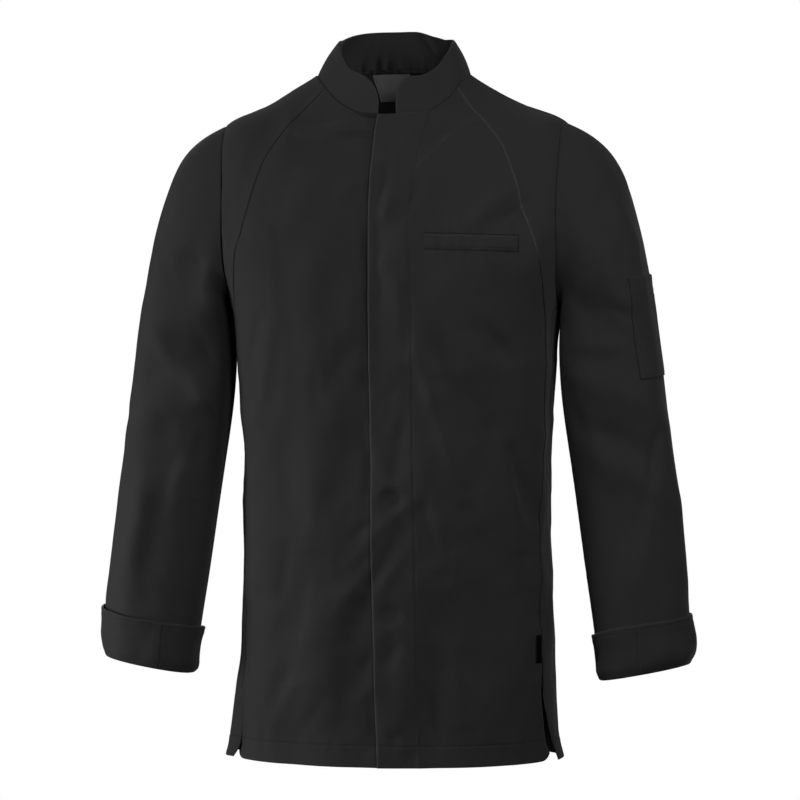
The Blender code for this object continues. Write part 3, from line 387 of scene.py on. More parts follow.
def slack(points):
    """Broad unevenness of hanging cloth, longer up and down than across."""
    tilted = points @ np.array([[0.94, 0.0, 0.34], [0.0, 1.0, 0.0], [-0.34, 0.0, 0.94]])
    bent = points + 0.012 * np.stack([uneven(points, (0.050,) * 3, k) for k in (4, 5, 6)], -1)
    crisp = np.sqrt(uneven(bent, (0.034, 0.034, 0.060), 7) ** 2 + 0.004)
    return (0.0024 * uneven(tilted, (0.060, 0.060, 0.105), 1)
            + 0.0014 * uneven(bent, (0.028, 0.028, 0.052), 2)
            - 0.0022 * (crisp - 0.3)
            + 0.0005 * uneven(bent, (0.013, 0.013, 0.020), 3))


# ---- torso surface -------------------------------------------------------
TORSO, LEVEL_AT, SIDE_LENGTH = lofted(LEVELS, LEVEL_COLUMNS, [(row[4], row[2]) for row in LEVELS])
V_UNDERARM, V_TIP = LEVEL_AT["underarm"], LEVEL_AT["shoulder tip"]


def torso_base(q, v):
    """Point at q degrees round from the centre front (wearer's left positive), level v."""
    q, v = np.broadcast_arrays(np.radians(np.asarray(q, float)), np.asarray(v, float))
    at = {name: f(v) for name, f in TORSO.items()}
    n = at["squareness"]
    s, c = np.sin(q), np.cos(q)
    r = (np.abs(s) ** n + np.abs(c) ** n) ** (-1 / n)
    front = c > 0
    x = at["half_width"] * r * s
    y = -np.where(front, at["front_depth"], at["back_depth"]) * r * c
    z_mid = np.where(front, at["z_front"], at["z_back"])
    z = z_mid + (at["z_side"] - z_mid) * np.abs(r * s) ** at["rise_power"]
    at_neck = smooth(NECK_LEVEL, 1.0, v)
    x = x - at_neck * (NECK_SHIFT_FRONT * smooth(-0.06, 0.0, y)
                       + NECK_SHIFT_BACK * smooth(0.0, 0.06, y))
    z = z - at_neck * NECK_DROP * plateau(x, *NECK_DROP_X)
    return np.stack([x, y, z], -1)


def degrees_per_metre(q, v):
    return 1.0 / np.linalg.norm(torso_base(q + 0.5, v) - torso_base(q - 0.5, v), axis=-1)


def normals(surface, a, b, da, db):
    """Unit normals of surface(a, b), by differences."""
    return unit(np.cross(surface(a + da, b) - surface(a - da, b),
                         surface(a, b + db) - surface(a, b - db)))


def q_at_x(x, v):
    """Degrees round for a distance from the centre, on the front."""
    a, n = TORSO["half_width"](v), TORSO["squareness"](v)
    s = np.clip(np.abs(x) / a, 0.0, 0.9999)
    return np.degrees(np.arctan2(s, (1 - s ** n) ** (1 / n))) * np.sign(x)


V_DENSE = np.linspace(0.0, 1.0, 1201)


@np.vectorize
def v_at(x, z, front=True):
    """Level of the torso surface through (x, z)."""
    mid = TORSO["z_front" if front else "z_back"](V_DENSE)
    s = np.abs(x) / TORSO["half_width"](V_DENSE)
    rise = np.minimum(s, 1.0) ** TORSO["rise_power"](V_DENSE)
    ring_z = mid + (TORSO["z_side"](V_DENSE) - mid) * rise
    over = np.nonzero((ring_z[:-1] <= z) & (ring_z[1:] > z) & (s[1:] <= 1.0))[0]
    if not len(over):
        return 1.0 if z > -0.3 else 0.0
    i = over[-1]
    share = (z - ring_z[i]) / (ring_z[i + 1] - ring_z[i])
    return V_DENSE[i] + (V_DENSE[i + 1] - V_DENSE[i]) * share


def seam_curve(points):
    """Degrees round as a function of level, for a front seam given by (x, z) points."""
    v, x = np.array(sorted(zip(v_at(*points.T), points[:, 0]))).T
    keep = np.concatenate([[True], np.diff(v) > 1e-4])
    line = spline(v[keep], x[keep])
    return lambda level: q_at_x(line(level), level)


raglan_q, top_edge_q = seam_curve(RAGLAN), seam_curve(TOP_EDGE)
side_seam_q, placket_stitch = table_spline(SIDE_SEAM), table_spline(PLACKET_STITCH)


def rear_edge_q(v, back=False):
    """Rear edge of a side panel, or of the back: side seam, armhole, shoulder seam."""
    v = np.asarray(v, float)
    # 0 at the underarm, 1 at the shoulder tip, spaced as a circle's height
    turn = np.arccos(1 - 2 * np.clip((v - V_UNDERARM) / (V_TIP - V_UNDERARM), 0.0, 1.0)) / np.pi
    centre = 90.0 + (SHOULDER_SEAM - 90.0) * turn ** 2
    width = (ARMHOLE_BACK if back else -ARMHOLE_FRONT) * np.sin(np.pi * turn) ** 0.8
    return np.where(v <= V_UNDERARM, side_seam_q(TORSO["z_side"](v)), centre + width)


def torso_move(q, v):
    """How far the folds and creases stand off the base surface."""
    p = torso_base(q, v)
    x, y, z = p[..., 0], p[..., 1], p[..., 2]
    aq = np.abs(wrap(q))
    on_front, on_back = 1 - smooth(*FRONT_END, aq), smooth(*BACK_START, aq)
    below_neck = 1 - smooth(-0.020, 0.006, z) * 0.8
    by_arm = plateau(aq, *BY_ARM) * smooth(V_UNDERARM - 0.05, V_UNDERARM + 0.02, v)
    fine = (folds(FRONT_CREASES, x, z) * on_front + folds(BACK_CREASES, x, z) * on_back
            + slack(p) * (1 - 0.75 * by_arm))
    for height in STUD_HEIGHTS:
        from_stud = np.hypot(x - STUD_X, z - height) / STUD_CALM
        fine = np.where(y < 0, fine * (1 - np.exp(-from_stud ** 4)), fine)
    large = folds(FRONT_FOLDS, x, z) * on_front + folds(BACK_FOLDS, x, z) * on_back
    shoulder = SHOULDER_RISE * bell(x - SHOULDER_X, SHOULDER_REACH) * smooth(-0.085, -0.045, z)
    side_in = DRAWN_DEPTH * bell(z - DRAWN_Z, DRAWN_REACH) * plateau(aq, *DRAWN_IN)
    return (large + fine) * below_neck + shoulder - side_in * (x < 0)


def vent_flare(q, v):
    """How far the cloth behind each vent swings outwards."""
    aq = np.abs(wrap(q))
    swing = np.clip((FLARE_TOP - TORSO["z_side"](v)) / FLARE_LENGTH, 0.0, 1.0)
    on_right = np.asarray(q) % 360.0 > 180.0
    reach = np.where(on_right, FLARE_RIGHT, FLARE_LEFT)
    near = np.where(on_right, smooth(66.0, 76.0, aq), smooth(54.0, 64.0, aq))
    return reach * swing ** 1.3 * near * (1 - smooth(92.0, 140.0, aq))


def torso(q, v, out=0.0, flare=0.0):
    """Torso cloth at (q, v), moved out along the base surface's normal."""
    n = normals(torso_base, np.asarray(q, float), np.clip(v, 0.002, 0.998), 0.5, 0.002)
    p = torso_base(q, v) + n * (torso_move(q, v) + out)[..., None]
    swing = (flare * vent_flare(q, v))[..., None]
    return p + n * swing + np.array([0.0, 0.0, VENT_RISE]) * swing, n


# ---- sleeve surface ------------------------------------------------------
ARM, RING_AT, SLEEVE_LENGTH = lofted(
    SLEEVE, SLEEVE_COLUMNS, [((row[1] + row[3]) / 2, (row[2] + row[4]) / 2) for row in SLEEVE])
CAP_END = RING_AT["upper arm"] * 1.15     # from here down, the rings are the table's own


def armhole_point(angle):
    """Armhole edge: 0 at the shoulder tip, 180 at the underarm, front positive."""
    turn = 1 - np.abs(angle) / 180.0
    v = V_UNDERARM + (V_TIP - V_UNDERARM) * (1 - np.cos(np.pi * turn)) / 2
    q = np.where(angle >= 0, rear_edge_q(v), rear_edge_q(v, back=True))
    return torso(np.where(turn <= 0, 90.0, q), v)[0]


ARMHOLE_DEGREES = np.linspace(-180.0, 180.0, 721)
ARMHOLE_POINTS = armhole_point(ARMHOLE_DEGREES)


def looked_up(at, keys, table):
    """Rows of a table of points at each key."""
    return np.stack([np.interp(at, keys, table[:, k]) for k in range(3)], -1)


def sleeve_base(angle, u):
    """Left sleeve at angle degrees from its outermost line (front positive), u along it."""
    angle, u = np.broadcast_arrays(np.asarray(angle, float), np.asarray(u, float))
    c, s = np.cos(np.radians(angle)), np.sin(np.radians(angle))

    def ring(u, fullness):
        at = {name: f(u) for name, f in ARM.items()}
        c1 = np.sign(c) * np.abs(c) ** fullness
        s1 = np.sign(s) * np.abs(s) ** fullness
        x, z = ((at["outer_" + axis] + at["inner_" + axis]) / 2
                + (at["outer_" + axis] - at["inner_" + axis]) / 2 * c1 for axis in "xz")
        return np.stack([x, at["middle_y"] - at["half_depth"] * s1, z], -1)
    keep = (1 - smooth(0.0, CAP_END, u))[..., None]
    start = looked_up(wrap(angle), ARMHOLE_DEGREES, ARMHOLE_POINTS) + np.array([0.0001, 0.0, 0.0])
    full = 1.0 - SLEEVE_FULL * smooth(0.0, 0.22, u) * (1 - 0.6 * smooth(0.80, 0.95, u))
    full = full - SLEEVE_BESIDE * plateau(u, 0.02, 0.14, 0.36, 0.60) * ((c < 0) & (s > 0))
    return ring(u, full) + keep * (start - ring(0.0, 1.0))


SLEEVE_TABLES = {1: np.concatenate([SLEEVE_FOLDS_LEFT, SLEEVE_CREASES_LEFT]),
                 -1: np.concatenate([SLEEVE_FOLDS_RIGHT, SLEEVE_CREASES_RIGHT])}


def sleeve(angle, u, side, out=0.0):
    """Sleeve cloth and its normal; side is +1 for the wearer's left."""
    u = np.asarray(u, float)
    n = normals(sleeve_base, np.asarray(angle, float), np.clip(u, 0.0015, 0.9985), 0.8, 0.0015)
    p = sleeve_base(angle, u)
    around = wrap(angle)
    keep = plateau(u, 0.02, 0.10, 0.90, 0.97) * (1 - smooth(125.0, 160.0, np.abs(around)))
    calm = 0.75 * (1 - 0.7 * bell(around, 28.0))
    creases = folds(SLEEVE_TABLES[side], around / 1000, p[..., 2])
    move = (creases + slack(p + 0.5 * side) * calm) * keep
    move = move - CUFF_ROUND * smooth(0.970, 0.996, u) ** 2
    p = p + n * (move + out)[..., None]
    mirror = np.array([side, 1.0, 1.0])
    if side > 0:
        p = p + smooth(0.45, 1.0, u)[..., None] * np.array(LEFT_ARM_HANGS)
    return p * mirror, n * mirror


# ---- materials -----------------------------------------------------------
class Value:
    """An output socket of a shader node, so that nodes can be written as sums."""

    def __init__(self, tree, socket):
        self.tree, self.socket = tree, socket

    def into(self, socket):
        self.tree.links.new(self.socket, socket)

    def math(self, kind, other=None, clamp=False):
        node = new_node(self.tree, "Math", operation=kind, use_clamp=clamp)
        self.into(node.inputs[0])
        if isinstance(other, Value):
            other.into(node.inputs[1])
        elif other is not None:
            node.inputs[1].default_value = other
        return Value(self.tree, node.outputs[0])

    def __add__(self, other):
        return self.math("ADD", other)

    def __sub__(self, other):
        return self.math("SUBTRACT", other)

    def __mul__(self, other):
        return self.math("MULTIPLY", other)

    def wave(self, length):
        return (self * (2 * math.pi / length)).math("SINE")

    def through(self, kind, output, socket=0, **values):
        """This value passed through a node of that kind, with these values on its sockets."""
        node = new_node(self.tree, kind)
        for name, value in values.items():
            node.inputs[name.replace("_", " ")].default_value = value
        self.into(node.inputs[socket])
        return Value(self.tree, node.outputs[output])

    def noise(self, scale, detail=2.0, roughness=0.5):
        return self.through("TexNoise", "Fac", "Vector", Scale=scale, Detail=detail,
                            Roughness=roughness)

    def stretched(self, x, y, z):
        return self.through("Mapping", "Vector", "Vector", Scale=(x, y, z)).noise(1.0, 3.0)

    def colours(self, first, last, *stops):
        """A ramp between colours; each stop is a place and a colour."""
        node = new_node(self.tree, "ValToRGB")
        ramp = node.color_ramp.elements
        ramp[0].color, ramp[1].color = (*first, 1.0), (*last, 1.0)
        for place, colour in stops:
            ramp.new(place).color = (*colour, 1.0)
        self.into(node.inputs["Fac"])
        return Value(self.tree, node.outputs["Color"])

    def bump(self, strength, distance):
        return self.through("Bump", "Normal", "Height", Strength=strength, Distance=distance)


def new_node(tree, kind, **values):
    node = tree.nodes.new("ShaderNode" + kind)
    for name, value in values.items():
        setattr(node, name, value)
    return node


def new_material(name, **values):
    """A material, its shader, and places on the object; values go on the shader's sockets."""
    material = bpy.data.materials.new(name)
    material.use_nodes = True
    tree = material.node_tree
    shader = tree.nodes["Principled BSDF"]
    for word, value in values.items():
        shader.inputs[word.replace("_", " ")].default_value = value
    return material, shader, Value(tree, new_node(tree, "TexCoord").outputs["Object"])


def dress(shader, colour, roughness, relief):
    colour.into(shader.inputs["Base Color"])
    roughness.into(shader.inputs["Roughness"])
    relief.into(shader.inputs["Normal"])


TWILL_PITCH, TWILL_SLOPE = 0.0011, 0.62
THREAD = 0.0006


def cloth_material(name, colour, light, worn_and_highlight_colour, rough=0.82, weave=0.35, sheen=0.06, specular=0.14):
    """Woven twill: diagonal rib, crossing threads, slubs, faint mottling, paler worn edges, and
    painted highlights and painted shade from its wear attribute.
    """
    material, shader, where = new_material(
        name, Specular_IOR_Level=specular, Sheen_Weight=sheen, Sheen_Roughness=0.5)
    tree = material.node_tree
    grain = Value(tree, new_node(tree, "Attribute", attribute_name="grain").outputs["Vector"])
    wear = Value(tree, new_node(tree, "Attribute", attribute_name="wear").outputs["Fac"])
    across, up = (grain.through("SeparateXYZ", k) for k in (0, 1))
    # twill ribs climb to the right; the threads cross them
    rib = (across + up * TWILL_SLOPE).wave(TWILL_PITCH)
    woven = rib * 0.6 + across.wave(THREAD) * up.wave(THREAD) * 0.4
    slub = grain.stretched(900.0, 40.0, 1.0) + grain.stretched(45.0, 900.0, 1.0)
    fuzz, cloud = where.noise(420.0, 3.0, 0.6), where.noise(14.0, 4.0, 0.55)
    tone = (slub - 1.0) * 0.55 + (cloud - 0.5) * 0.9 + woven * 0.10
    # wear and painted highlights raise the tone towards the worn colour; dark seam lines and
    # painted shade lower it below the cloth's own colour
    tone = (tone * 0.16 + 0.25).math("ADD", wear * 0.5, clamp=True)
    dress(shader,
          tone.colours([0.3 * c for c in colour], worn_and_highlight_colour, (0.15, colour), (0.5, light)),
          ((fuzz - 0.5) * 0.16 + rough).math("ADD", (cloud - 0.5) * 0.10, clamp=True),
          (woven * 0.5 + slub * 0.9 + fuzz * 0.7).bump(weave, 0.00016))
    return material


def thread_material(name, dark, pale):
    """Twisted sewing thread."""
    material, shader, where = new_material(name, Specular_IOR_Level=0.25)
    twist, drift = where.noise(2600.0), where.noise(60.0)
    dress(shader, ((twist + drift) * 0.5).colours(dark, pale), twist * 0.25 + 0.45,
          twist.bump(0.4, 0.0001))
    return material


def metal_material(name):
    """Dark satin metal of the press studs, lightly scratched."""
    material, shader, where = new_material(name, Metallic=1.0)
    scratch = where.stretched(300.0, 300.0, 4000.0)
    dress(shader, where.noise(220.0, 3.0).colours((0.10, 0.10, 0.105), (0.22, 0.22, 0.225)),
          scratch * 0.3 + 0.25, scratch.bump(0.2, 0.0001))
    return material


BLACK = cloth_material("black_twill", (0.0117,) * 3, (0.0192, 0.0190, 0.0188),
                       (0.049, 0.048, 0.048))
LABEL = cloth_material("grey_label", (0.085, 0.085, 0.086), (0.150, 0.150, 0.151),
                       (0.18, 0.18, 0.18), rough=0.66, weave=0.5, sheen=0.0, specular=0.2)
TAB = cloth_material("black_ribbon", (0.0008, 0.0008, 0.0009), (0.0022, 0.0022, 0.0024),
                     (0.006, 0.006, 0.006), rough=0.7, weave=0.5, sheen=0.0, specular=0.05)
THREAD_BLACK = thread_material("black_thread", (0.006, 0.006, 0.0065), (0.022, 0.022, 0.023))
THREAD_GREY = thread_material("grey_thread", (0.030, 0.030, 0.031), (0.075, 0.075, 0.077))
STUD = metal_material("dark_metal")


# ---- meshes --------------------------------------------------------------
def grid_normals(points, like, closed=False):
    """Normals of a grid of points, from its own facets, on the side of the normals like."""
    around = (np.roll(points, -1, axis=1) - np.roll(points, 1, axis=1) if closed
              else np.gradient(points, axis=1))
    n = unit(np.cross(around, np.gradient(points, axis=0)))
    return -n if np.sum(n[:len(like)] * like) < 0 else n


def add_mesh(name, points, faces, material, **layers):
    """A mesh of quads with its faces outwards; layers are values at its points."""
    mesh = bpy.data.meshes.new(name)
    mesh.from_pydata(points.tolist(), [], faces.tolist())
    mesh.update()
    mesh.shade_smooth()
    mesh.materials.append(material)
    for layer, values in layers.items():
        kind, field = ("FLOAT", "value") if values.ndim == 1 else ("FLOAT_VECTOR", "vector")
        target = mesh.attributes.new(layer, kind, "POINT").data
        target.foreach_set(field, values.astype(np.float32).ravel())
    p = points[faces]
    if sum(np.sum(p[:, 0] * np.cross(p[:, k], p[:, k + 1])) for k in (1, 2)) < 0:
        mesh.flip_normals()
    item = bpy.data.objects.new(name, mesh)
    bpy.context.scene.collection.objects.link(item)
    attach(item, "root")
    return item


def shell(name, outer, inner, material, grain, wear, inside_wear=None, closed=False, bulge=0.0):
    """Closed shell between two grids; bulge rounds its free rims outwards by that length.

    grain is how far each point is across and along the cloth, and the wear values how worn it
    is and where highlights and shade are painted on it; the inner grid's are given apart if they
    differ.
    """
    rows, cols = outer.shape[:2]
    far = rows * cols
    index = np.arange(far).reshape(rows, cols)
    wide = np.column_stack([index, index[:, 0]]) if closed else index
    a, b, c, d = wide[:-1, :-1], wide[:-1, 1:], wide[1:, 1:], wide[1:, :-1]
    faces = [np.stack([a, b, c, d], -1).reshape(-1, 4),
             np.stack([a, d, c, b], -1).reshape(-1, 4) + far]
    # each rim gets a middle line; sides are its line, the line before it, and its direction
    sides = [(index[0], index[1], 1), (index[-1], index[-2], -1)]
    if not closed:
        sides += [(index[:, 0], index[:, 1], -1), (index[:, -1], index[:, -2], 1)]
    outside, inside = outer.reshape(-1, 3), inner.reshape(-1, 3)
    points, middles, count = [outside, inside], [], 2 * far
    for line, before, _ in sides:
        ends = outside[line] + inside[line]
        away = unit(ends - outside[before] - inside[before])
        points.append(ends / 2 + away * bulge)
        middles.append(count + np.arange(len(line)))
        count += len(line)
    if not closed:      # two rims share the point at each corner
        low, high, left, right = middles
        left[[0, -1]], right[[0, -1]] = (low[0], high[0]), (low[-1], high[-1])
    for (line, _, direction), middle in zip(sides, middles):
        if closed:
            line, middle = np.append(line, line[0]), np.append(middle, middle[0])
        o0, o1, m0, m1 = line[:-1], line[1:], middle[:-1], middle[1:]
        strip = np.stack([[o1, o0, m0, m1], [m1, m0, o0 + far, o1 + far]]).transpose(2, 0, 1)
        faces.append(strip.reshape(-1, 4)[:, ::direction])
    used, faces = np.unique(np.concatenate(faces), return_inverse=True)

    def both(values, behind):
        return np.concatenate([values, behind, np.repeat(values[:1], count - 2 * far, 0)])[used]
    grain = np.stack([*grain, np.zeros((rows, cols))], -1).reshape(far, 3)
    wear = wear.ravel()
    behind = wear if inside_wear is None else inside_wear.ravel()
    return add_mesh(name, np.concatenate(points)[used], faces.reshape(-1, 4), material,
                    grain=both(grain, grain), wear=both(wear, behind))


# Pieces that are not of the black cloth: their material and a word for their kind.
LOOKS = {"neck_label": (LABEL, "label"), "side_tab": (TAB, "tab")}


def cloth(name, outer, inner, **how):
    """The shell of one piece of cloth, in the place of its solid."""
    material, slot = LOOKS.get(name, (BLACK, "cloth"))
    piece = shell(name, outer, inner, material, **how)
    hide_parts(name)


GRIDS = {}      # each piece's outside: the two coordinates of its points, points, normals


def on_panel(name, a, b):
    """Outer points and normals of a panel at (a, b) of its surface, on its own facets."""
    keys, rows, points, norms = GRIDS[name]
    if keys[0, 0] > keys[0, -1]:
        keys, rows, points, norms = (grid[:, ::-1] for grid in (keys, rows, points, norms))
    shape = np.shape(a)
    a, b = np.ravel(a), np.ravel(b)
    level = np.stack([np.interp(a, keys[r], rows[r]) for r in range(len(keys))])
    r = np.clip((level <= b).sum(0) - 1, 0, len(keys) - 2)
    n = np.arange(len(a))
    f = (b - level[r, n]) / (level[r + 1, n] - level[r, n])
    found = np.zeros((2, len(a), 3))
    for row in np.unique(r):
        mine = np.nonzero(r == row)[0]
        up = f[mine, None]
        for target, table in zip(found, (points, norms)):
            target[mine] = (looked_up(a[mine], keys[row], table[row]) * (1 - up)
                            + looked_up(a[mine], keys[row + 1], table[row + 1]) * up)
    return found[0].reshape(shape + (3,)), unit(found[1]).reshape(shape + (3,))


def bilinear(table, i, j):
    """A grid's value at a broken row i and column j."""
    i0 = np.minimum(i.astype(int), len(table) - 2)
    j0 = np.minimum(j.astype(int), table.shape[1] - 2)
    f, g = (i - i0)[..., None], (j - j0)[..., None]
    return ((table[i0, j0] * (1 - g) + table[i0, j0 + 1] * g) * (1 - f)
            + (table[i0 + 1, j0] * (1 - g) + table[i0 + 1, j0 + 1] * g) * f)


# ---- rows and columns of the cloth ---------------------------------------
# distances from an edge and from a line of stitches at which the cloth's rows are dense
EDGE_IN = np.array([0.0, 0.0003, 0.0008, 0.0015, 0.0024, 0.0036, 0.0052, 0.0074])
EDGE_OUT = -EDGE_IN[::-1]
HALF_LINE = np.array([0.0004, 0.0009, 0.0016, 0.0026, 0.0042])
LINE = np.concatenate([-HALF_LINE[::-1], [0.0], HALF_LINE])
HEM_ROWS = (0.0105, 0.0140, 0.0165)
ARM_ROWS, SHOULDER_ROWS = 77, 33
SLEEVE_AROUND, SLEEVE_ALONG, SLEEVE_END = 111, 171, 0.990


def spread(width, marks, step):
    """Places across rows of these widths, dense round each mark (place per row, offsets)."""
    groups = []
    for k, (place, offsets) in enumerate(marks):
        before = place - marks[k - 1][0] if k else place
        after = (marks[k + 1][0] - place) if k + 1 < len(marks) else width - place
        room_low, room_high = (
            np.minimum(1.0, 0.45 * np.maximum(room, 1e-6) / max(reach, 1e-9))
            for room, reach in ((before, -offsets.min()), (after, offsets.max())))
        scale = np.where(offsets < 0, room_low[:, None], room_high[:, None])
        groups.append(place[:, None] + offsets * scale)
    columns = [groups[0]]
    for left, right in zip(groups[:-1], groups[1:]):
        gap = right[:, :1] - left[:, -1:]
        count = max(1, math.ceil(np.max(gap) / step))
        columns += [left[:, -1:] + gap * np.linspace(0.0, 1.0, count + 1)[1:-1], right]
    return np.concatenate(columns, axis=1)


def body_rows():
    """Levels of the rows at the body's centre and at its side, dense at the hem's stitches."""
    hem = np.concatenate([EDGE_IN, HEM_ROWS, HEM_STITCH + LINE])
    low = V_UNDERARM * SIDE_LENGTH
    even = np.arange(hem[-1] + CELL, low - CELL * 0.6, CELL)
    side = np.concatenate([hem, even, [low]]) / SIDE_LENGTH
    drop, calm, rise = (length / SIDE_LENGTH for length in (0.070, 0.050, 0.030))
    centre = side - drop * np.clip((side - calm) / (V_UNDERARM - calm), 0.0, 1.0) ** 1.5
    arm = np.linspace(0.0, 1.0, ARM_ROWS + 1)[1:]
    turned = (1 - np.cos(np.pi * arm)) / 2
    fan_low, fan_high = V_UNDERARM - drop, V_TIP + rise
    end = 1.0 - (SEAM + EDGE_IN[::-1]) / SIDE_LENGTH
    shoulder = np.linspace(0.0, 1.0, SHOULDER_ROWS + 1)[1:-1]
    return (np.concatenate([centre, fan_low + (fan_high - fan_low) * arm,
                            fan_high + (end[0] - fan_high) * shoulder, end]),
            np.concatenate([side, V_UNDERARM + (V_TIP - V_UNDERARM) * turned,
                            V_TIP + (end[0] - V_TIP) * shoulder, end]))


CENTRE, EDGE = body_rows()
MIDDLE = 0.6 * CENTRE + 0.4 * EDGE        # levels of the rows at the raglan seam
MIDDLE_Z = TORSO["z_side"](MIDDLE)
BELOW_VENT = smooth(VENT_TOP, VENT_TOP - VENT_END, MIDDLE_Z)[:, None]
ABOVE_VENT = 1 - BELOW_VENT
AT_ARM = ((EDGE > V_UNDERARM) & (EDGE < V_TIP))[:, None]


def panel_grid(v_from, q_from, v_to, q_to, marks=(), fan=0, last_gap=SEAM, step=CELL):
    """(q, v) of a panel's points, with their distances from both of its edges."""
    def place(w):
        turn = {0: w, 1: 1 - (1 - w) ** 2.2, -1: w ** 2.2}[fan]
        return (q_from[:, None] * (1 - w) + q_to[:, None] * w,
                v_from[:, None] * (1 - turn) + v_to[:, None] * turn)
    w = np.linspace(0.0, 1.0, 161)
    length = np.linalg.norm(np.diff(torso_base(*place(w)), axis=1), axis=-1)
    length = np.concatenate([np.zeros((len(length), 1)), np.cumsum(length, axis=1)], axis=1)
    width = length[:, -1]
    ends = [(np.full_like(width, SEAM), EDGE_IN), *marks,
            (width - last_gap, EDGE_OUT if last_gap else np.zeros(1))]
    s = spread(width, ends, step)
    at = np.stack([np.interp(s[i], length[i], w) for i in range(len(s))])
    return *place(at), s, width[:, None] - s


# ---- relief of sewn cloth ------------------------------------------------
PUCKER = 0.00022


def seam_side(d, length, seed, raised=0.0, roll=0.0006):
    """Cloth next to a seam: it rolls in, stands up over the allowance and puckers."""
    return (-roll * bell(d, 0.0008) + raised * bell(d - 0.0016, 0.0014)
            + 0.3 * raised * bell(d - 0.0055, 0.0030)
            + PUCKER * ripple(length, seed) * bell(d - 0.003, 0.0050))


def seam_step(d, length, seed, height, lit):
    """Edge of the piece on top at a lapped seam: it ends in a step over the allowance."""
    groove = (0.0006 + 0.25 * height) * (1 - lit)
    return (height * bell(d, 0.0090) - groove * bell(d, 0.0007)
            + PUCKER * ripple(length, seed) * bell(d - 0.003, 0.0050))


def stitched(d, length, seed, depth=0.00045, puff=0.00028):
    """Cloth round a line of stitches, d across it: a groove, a soft puff and puckers."""
    return (-depth * bell(d, 0.0009) + puff * bell(np.abs(d) - 0.0030, 0.0022)
            + PUCKER * ripple(length, seed, 0.007, 0.022) * bell(d, 0.0055))


def folded_edge(d, thick=0.0005):
    """Edge of a turned hem or facing: rounded, a little thicker than the single cloth."""
    return thick * (1 - np.exp(-d / 0.0006)) * bell(d, 0.012) - 0.0004 * bell(d, 0.0005)


def neck_side(v, along, seed):
    return seam_side((1 - v) * SIDE_LENGTH, along, seed, 0.0002)


def hem_relief(rise, along, seed):
    d = rise - HEM_STITCH
    return (0.0022 * np.clip(1 - rise / 0.026, 0.0, 1.0) ** 2 + folded_edge(rise)
            + 0.0003 * (1 - smooth(-0.0005, 0.0020, d)) + stitched(d, along, seed, 0.0005, 0.0001)
            + 0.0005 * ripple(along, seed + 3, 0.009, 0.026) * bell(d, 0.0110))


def hem_tone(rise):
    """A paler edge and a darker line of stitches above it."""
    return 0.3 * bell(rise, 0.0016) - 0.22 * bell(rise - HEM_STITCH, 0.0010)


def edge_tone(free=1.0, sewn=1.0):
    """A free edge is paler, worn and with a painted highlight where its rolled edge catches the
    light; the line of a seam is darker.
    """
    return bell(free, 0.0016) - 0.4 * bell(sewn, 0.0012)


def lit_seam(side):
    """1 where the raglan seam stands up and gets a painted highlight: high up on the wearer's
    left.
    """
    return (smooth(-0.215, -0.185, MIDDLE_Z) * (side > 0))[:, None]


# ---- stitches ------------------------------------------------------------
STITCHES = {}       # points and faces of each piece's stitches
STITCH_RINGS = ((-0.5, 0.45, -0.0002), (-0.28, 1.0, 0.0001), (0.28, 1.0, 0.0001),
                (0.5, 0.45, -0.0002))        # place along it, thickness, height
STITCH_FACES = np.array([[r + k, r + (k + 1) % 4, r + 4 + (k + 1) % 4, r + 4 + k]
                         for r in (0, 4, 8) for k in range(4)] + [[3, 2, 1, 0], [12, 13, 14, 15]])


def sew(name, surface, at=..., pitch=0.0031, length=0.0023, radius=0.00022):
    """Adds a row of stitches to a piece, along these points of a surface and its normals."""
    path, facing = (grid[at] for grid in surface)
    run = np.concatenate([[0.0], np.cumsum(np.linalg.norm(np.diff(path, axis=0), axis=1))])
    count = int(run[-1] / pitch)
    middle = (np.arange(count) + 0.5) * run[-1] / count
    n = unit(looked_up(middle, run, facing))
    ahead = unit(looked_up(np.minimum(middle + length / 2, run[-1]), run, path)
                 - looked_up(np.maximum(middle - length / 2, 0), run, path))
    across = np.cross(n, ahead)
    ring = []
    for share, size, lift in STITCH_RINGS:
        centre = looked_up(middle, run, path) + ahead * length * share + n * lift
        ring += [centre + way * radius * size for way in (across, n, -across, -n)]
    points, faces = STITCHES.setdefault("sewing_" + name, ([], []))
    base = sum(len(part) for part in points) + np.arange(count)[:, None] * 16
    points.append(np.stack(ring, 1).reshape(-1, 3))
    faces.append((base + STITCH_FACES[:, None]).reshape(-1, 4))


def finish_sewing():
    for name, (points, faces) in STITCHES.items():
        material, slot = (THREAD_GREY, "label") if "label" in name else (THREAD_BLACK, "cloth")
        item = add_mesh(name, np.concatenate(points), np.concatenate(faces), material)


# ---- torso ---------------------------------------------------------------
def torso_panel(name, q, v, left, wear, relief, flare=0.0, lift=0.0):
    """One torso panel; relief is how far each point stands off its solid's outside.

    flare is its share in the swing behind the vents, and lift raises its points.
    """
    outer, n = torso(q, v, relief, flare)
    outer[..., 2] += lift
    facing = grid_normals(outer, n)
    GRIDS[name] = (q, v, outer, facing)
    cloth(name, outer, outer - facing * CLOTH, wear=wear,
          grain=(left + 0.37 * len(name), v * SIDE_LENGTH))
    return outer, facing


def front_lift(q, v, side):
    """The top front lies over the under front; each bows to leave the other room."""
    x, _, z = np.moveaxis(torso_base(q, v), -1, 0)
    wave = 0.5 + 0.5 * ripple(z, 61, 0.045, 0.160)
    if side > 0:
        return (TOP_LIFT * (1 - smooth(PLACKET_X, PLACKET_X + 0.030, x))
                + 0.0011 * wave * bell(x + 0.0150, 0.0060))
    loose = smooth(-0.150, -0.200, z) * smooth(-0.390, -0.330, z)
    beside = -(0.0006 + 0.0012 * wave + 0.0016 * loose) * bell(x + 0.0200, 0.0085)
    return -UNDER_SINK * smooth(-0.060, -0.024, x) + np.clip(beside, -0.0030, 0.0)


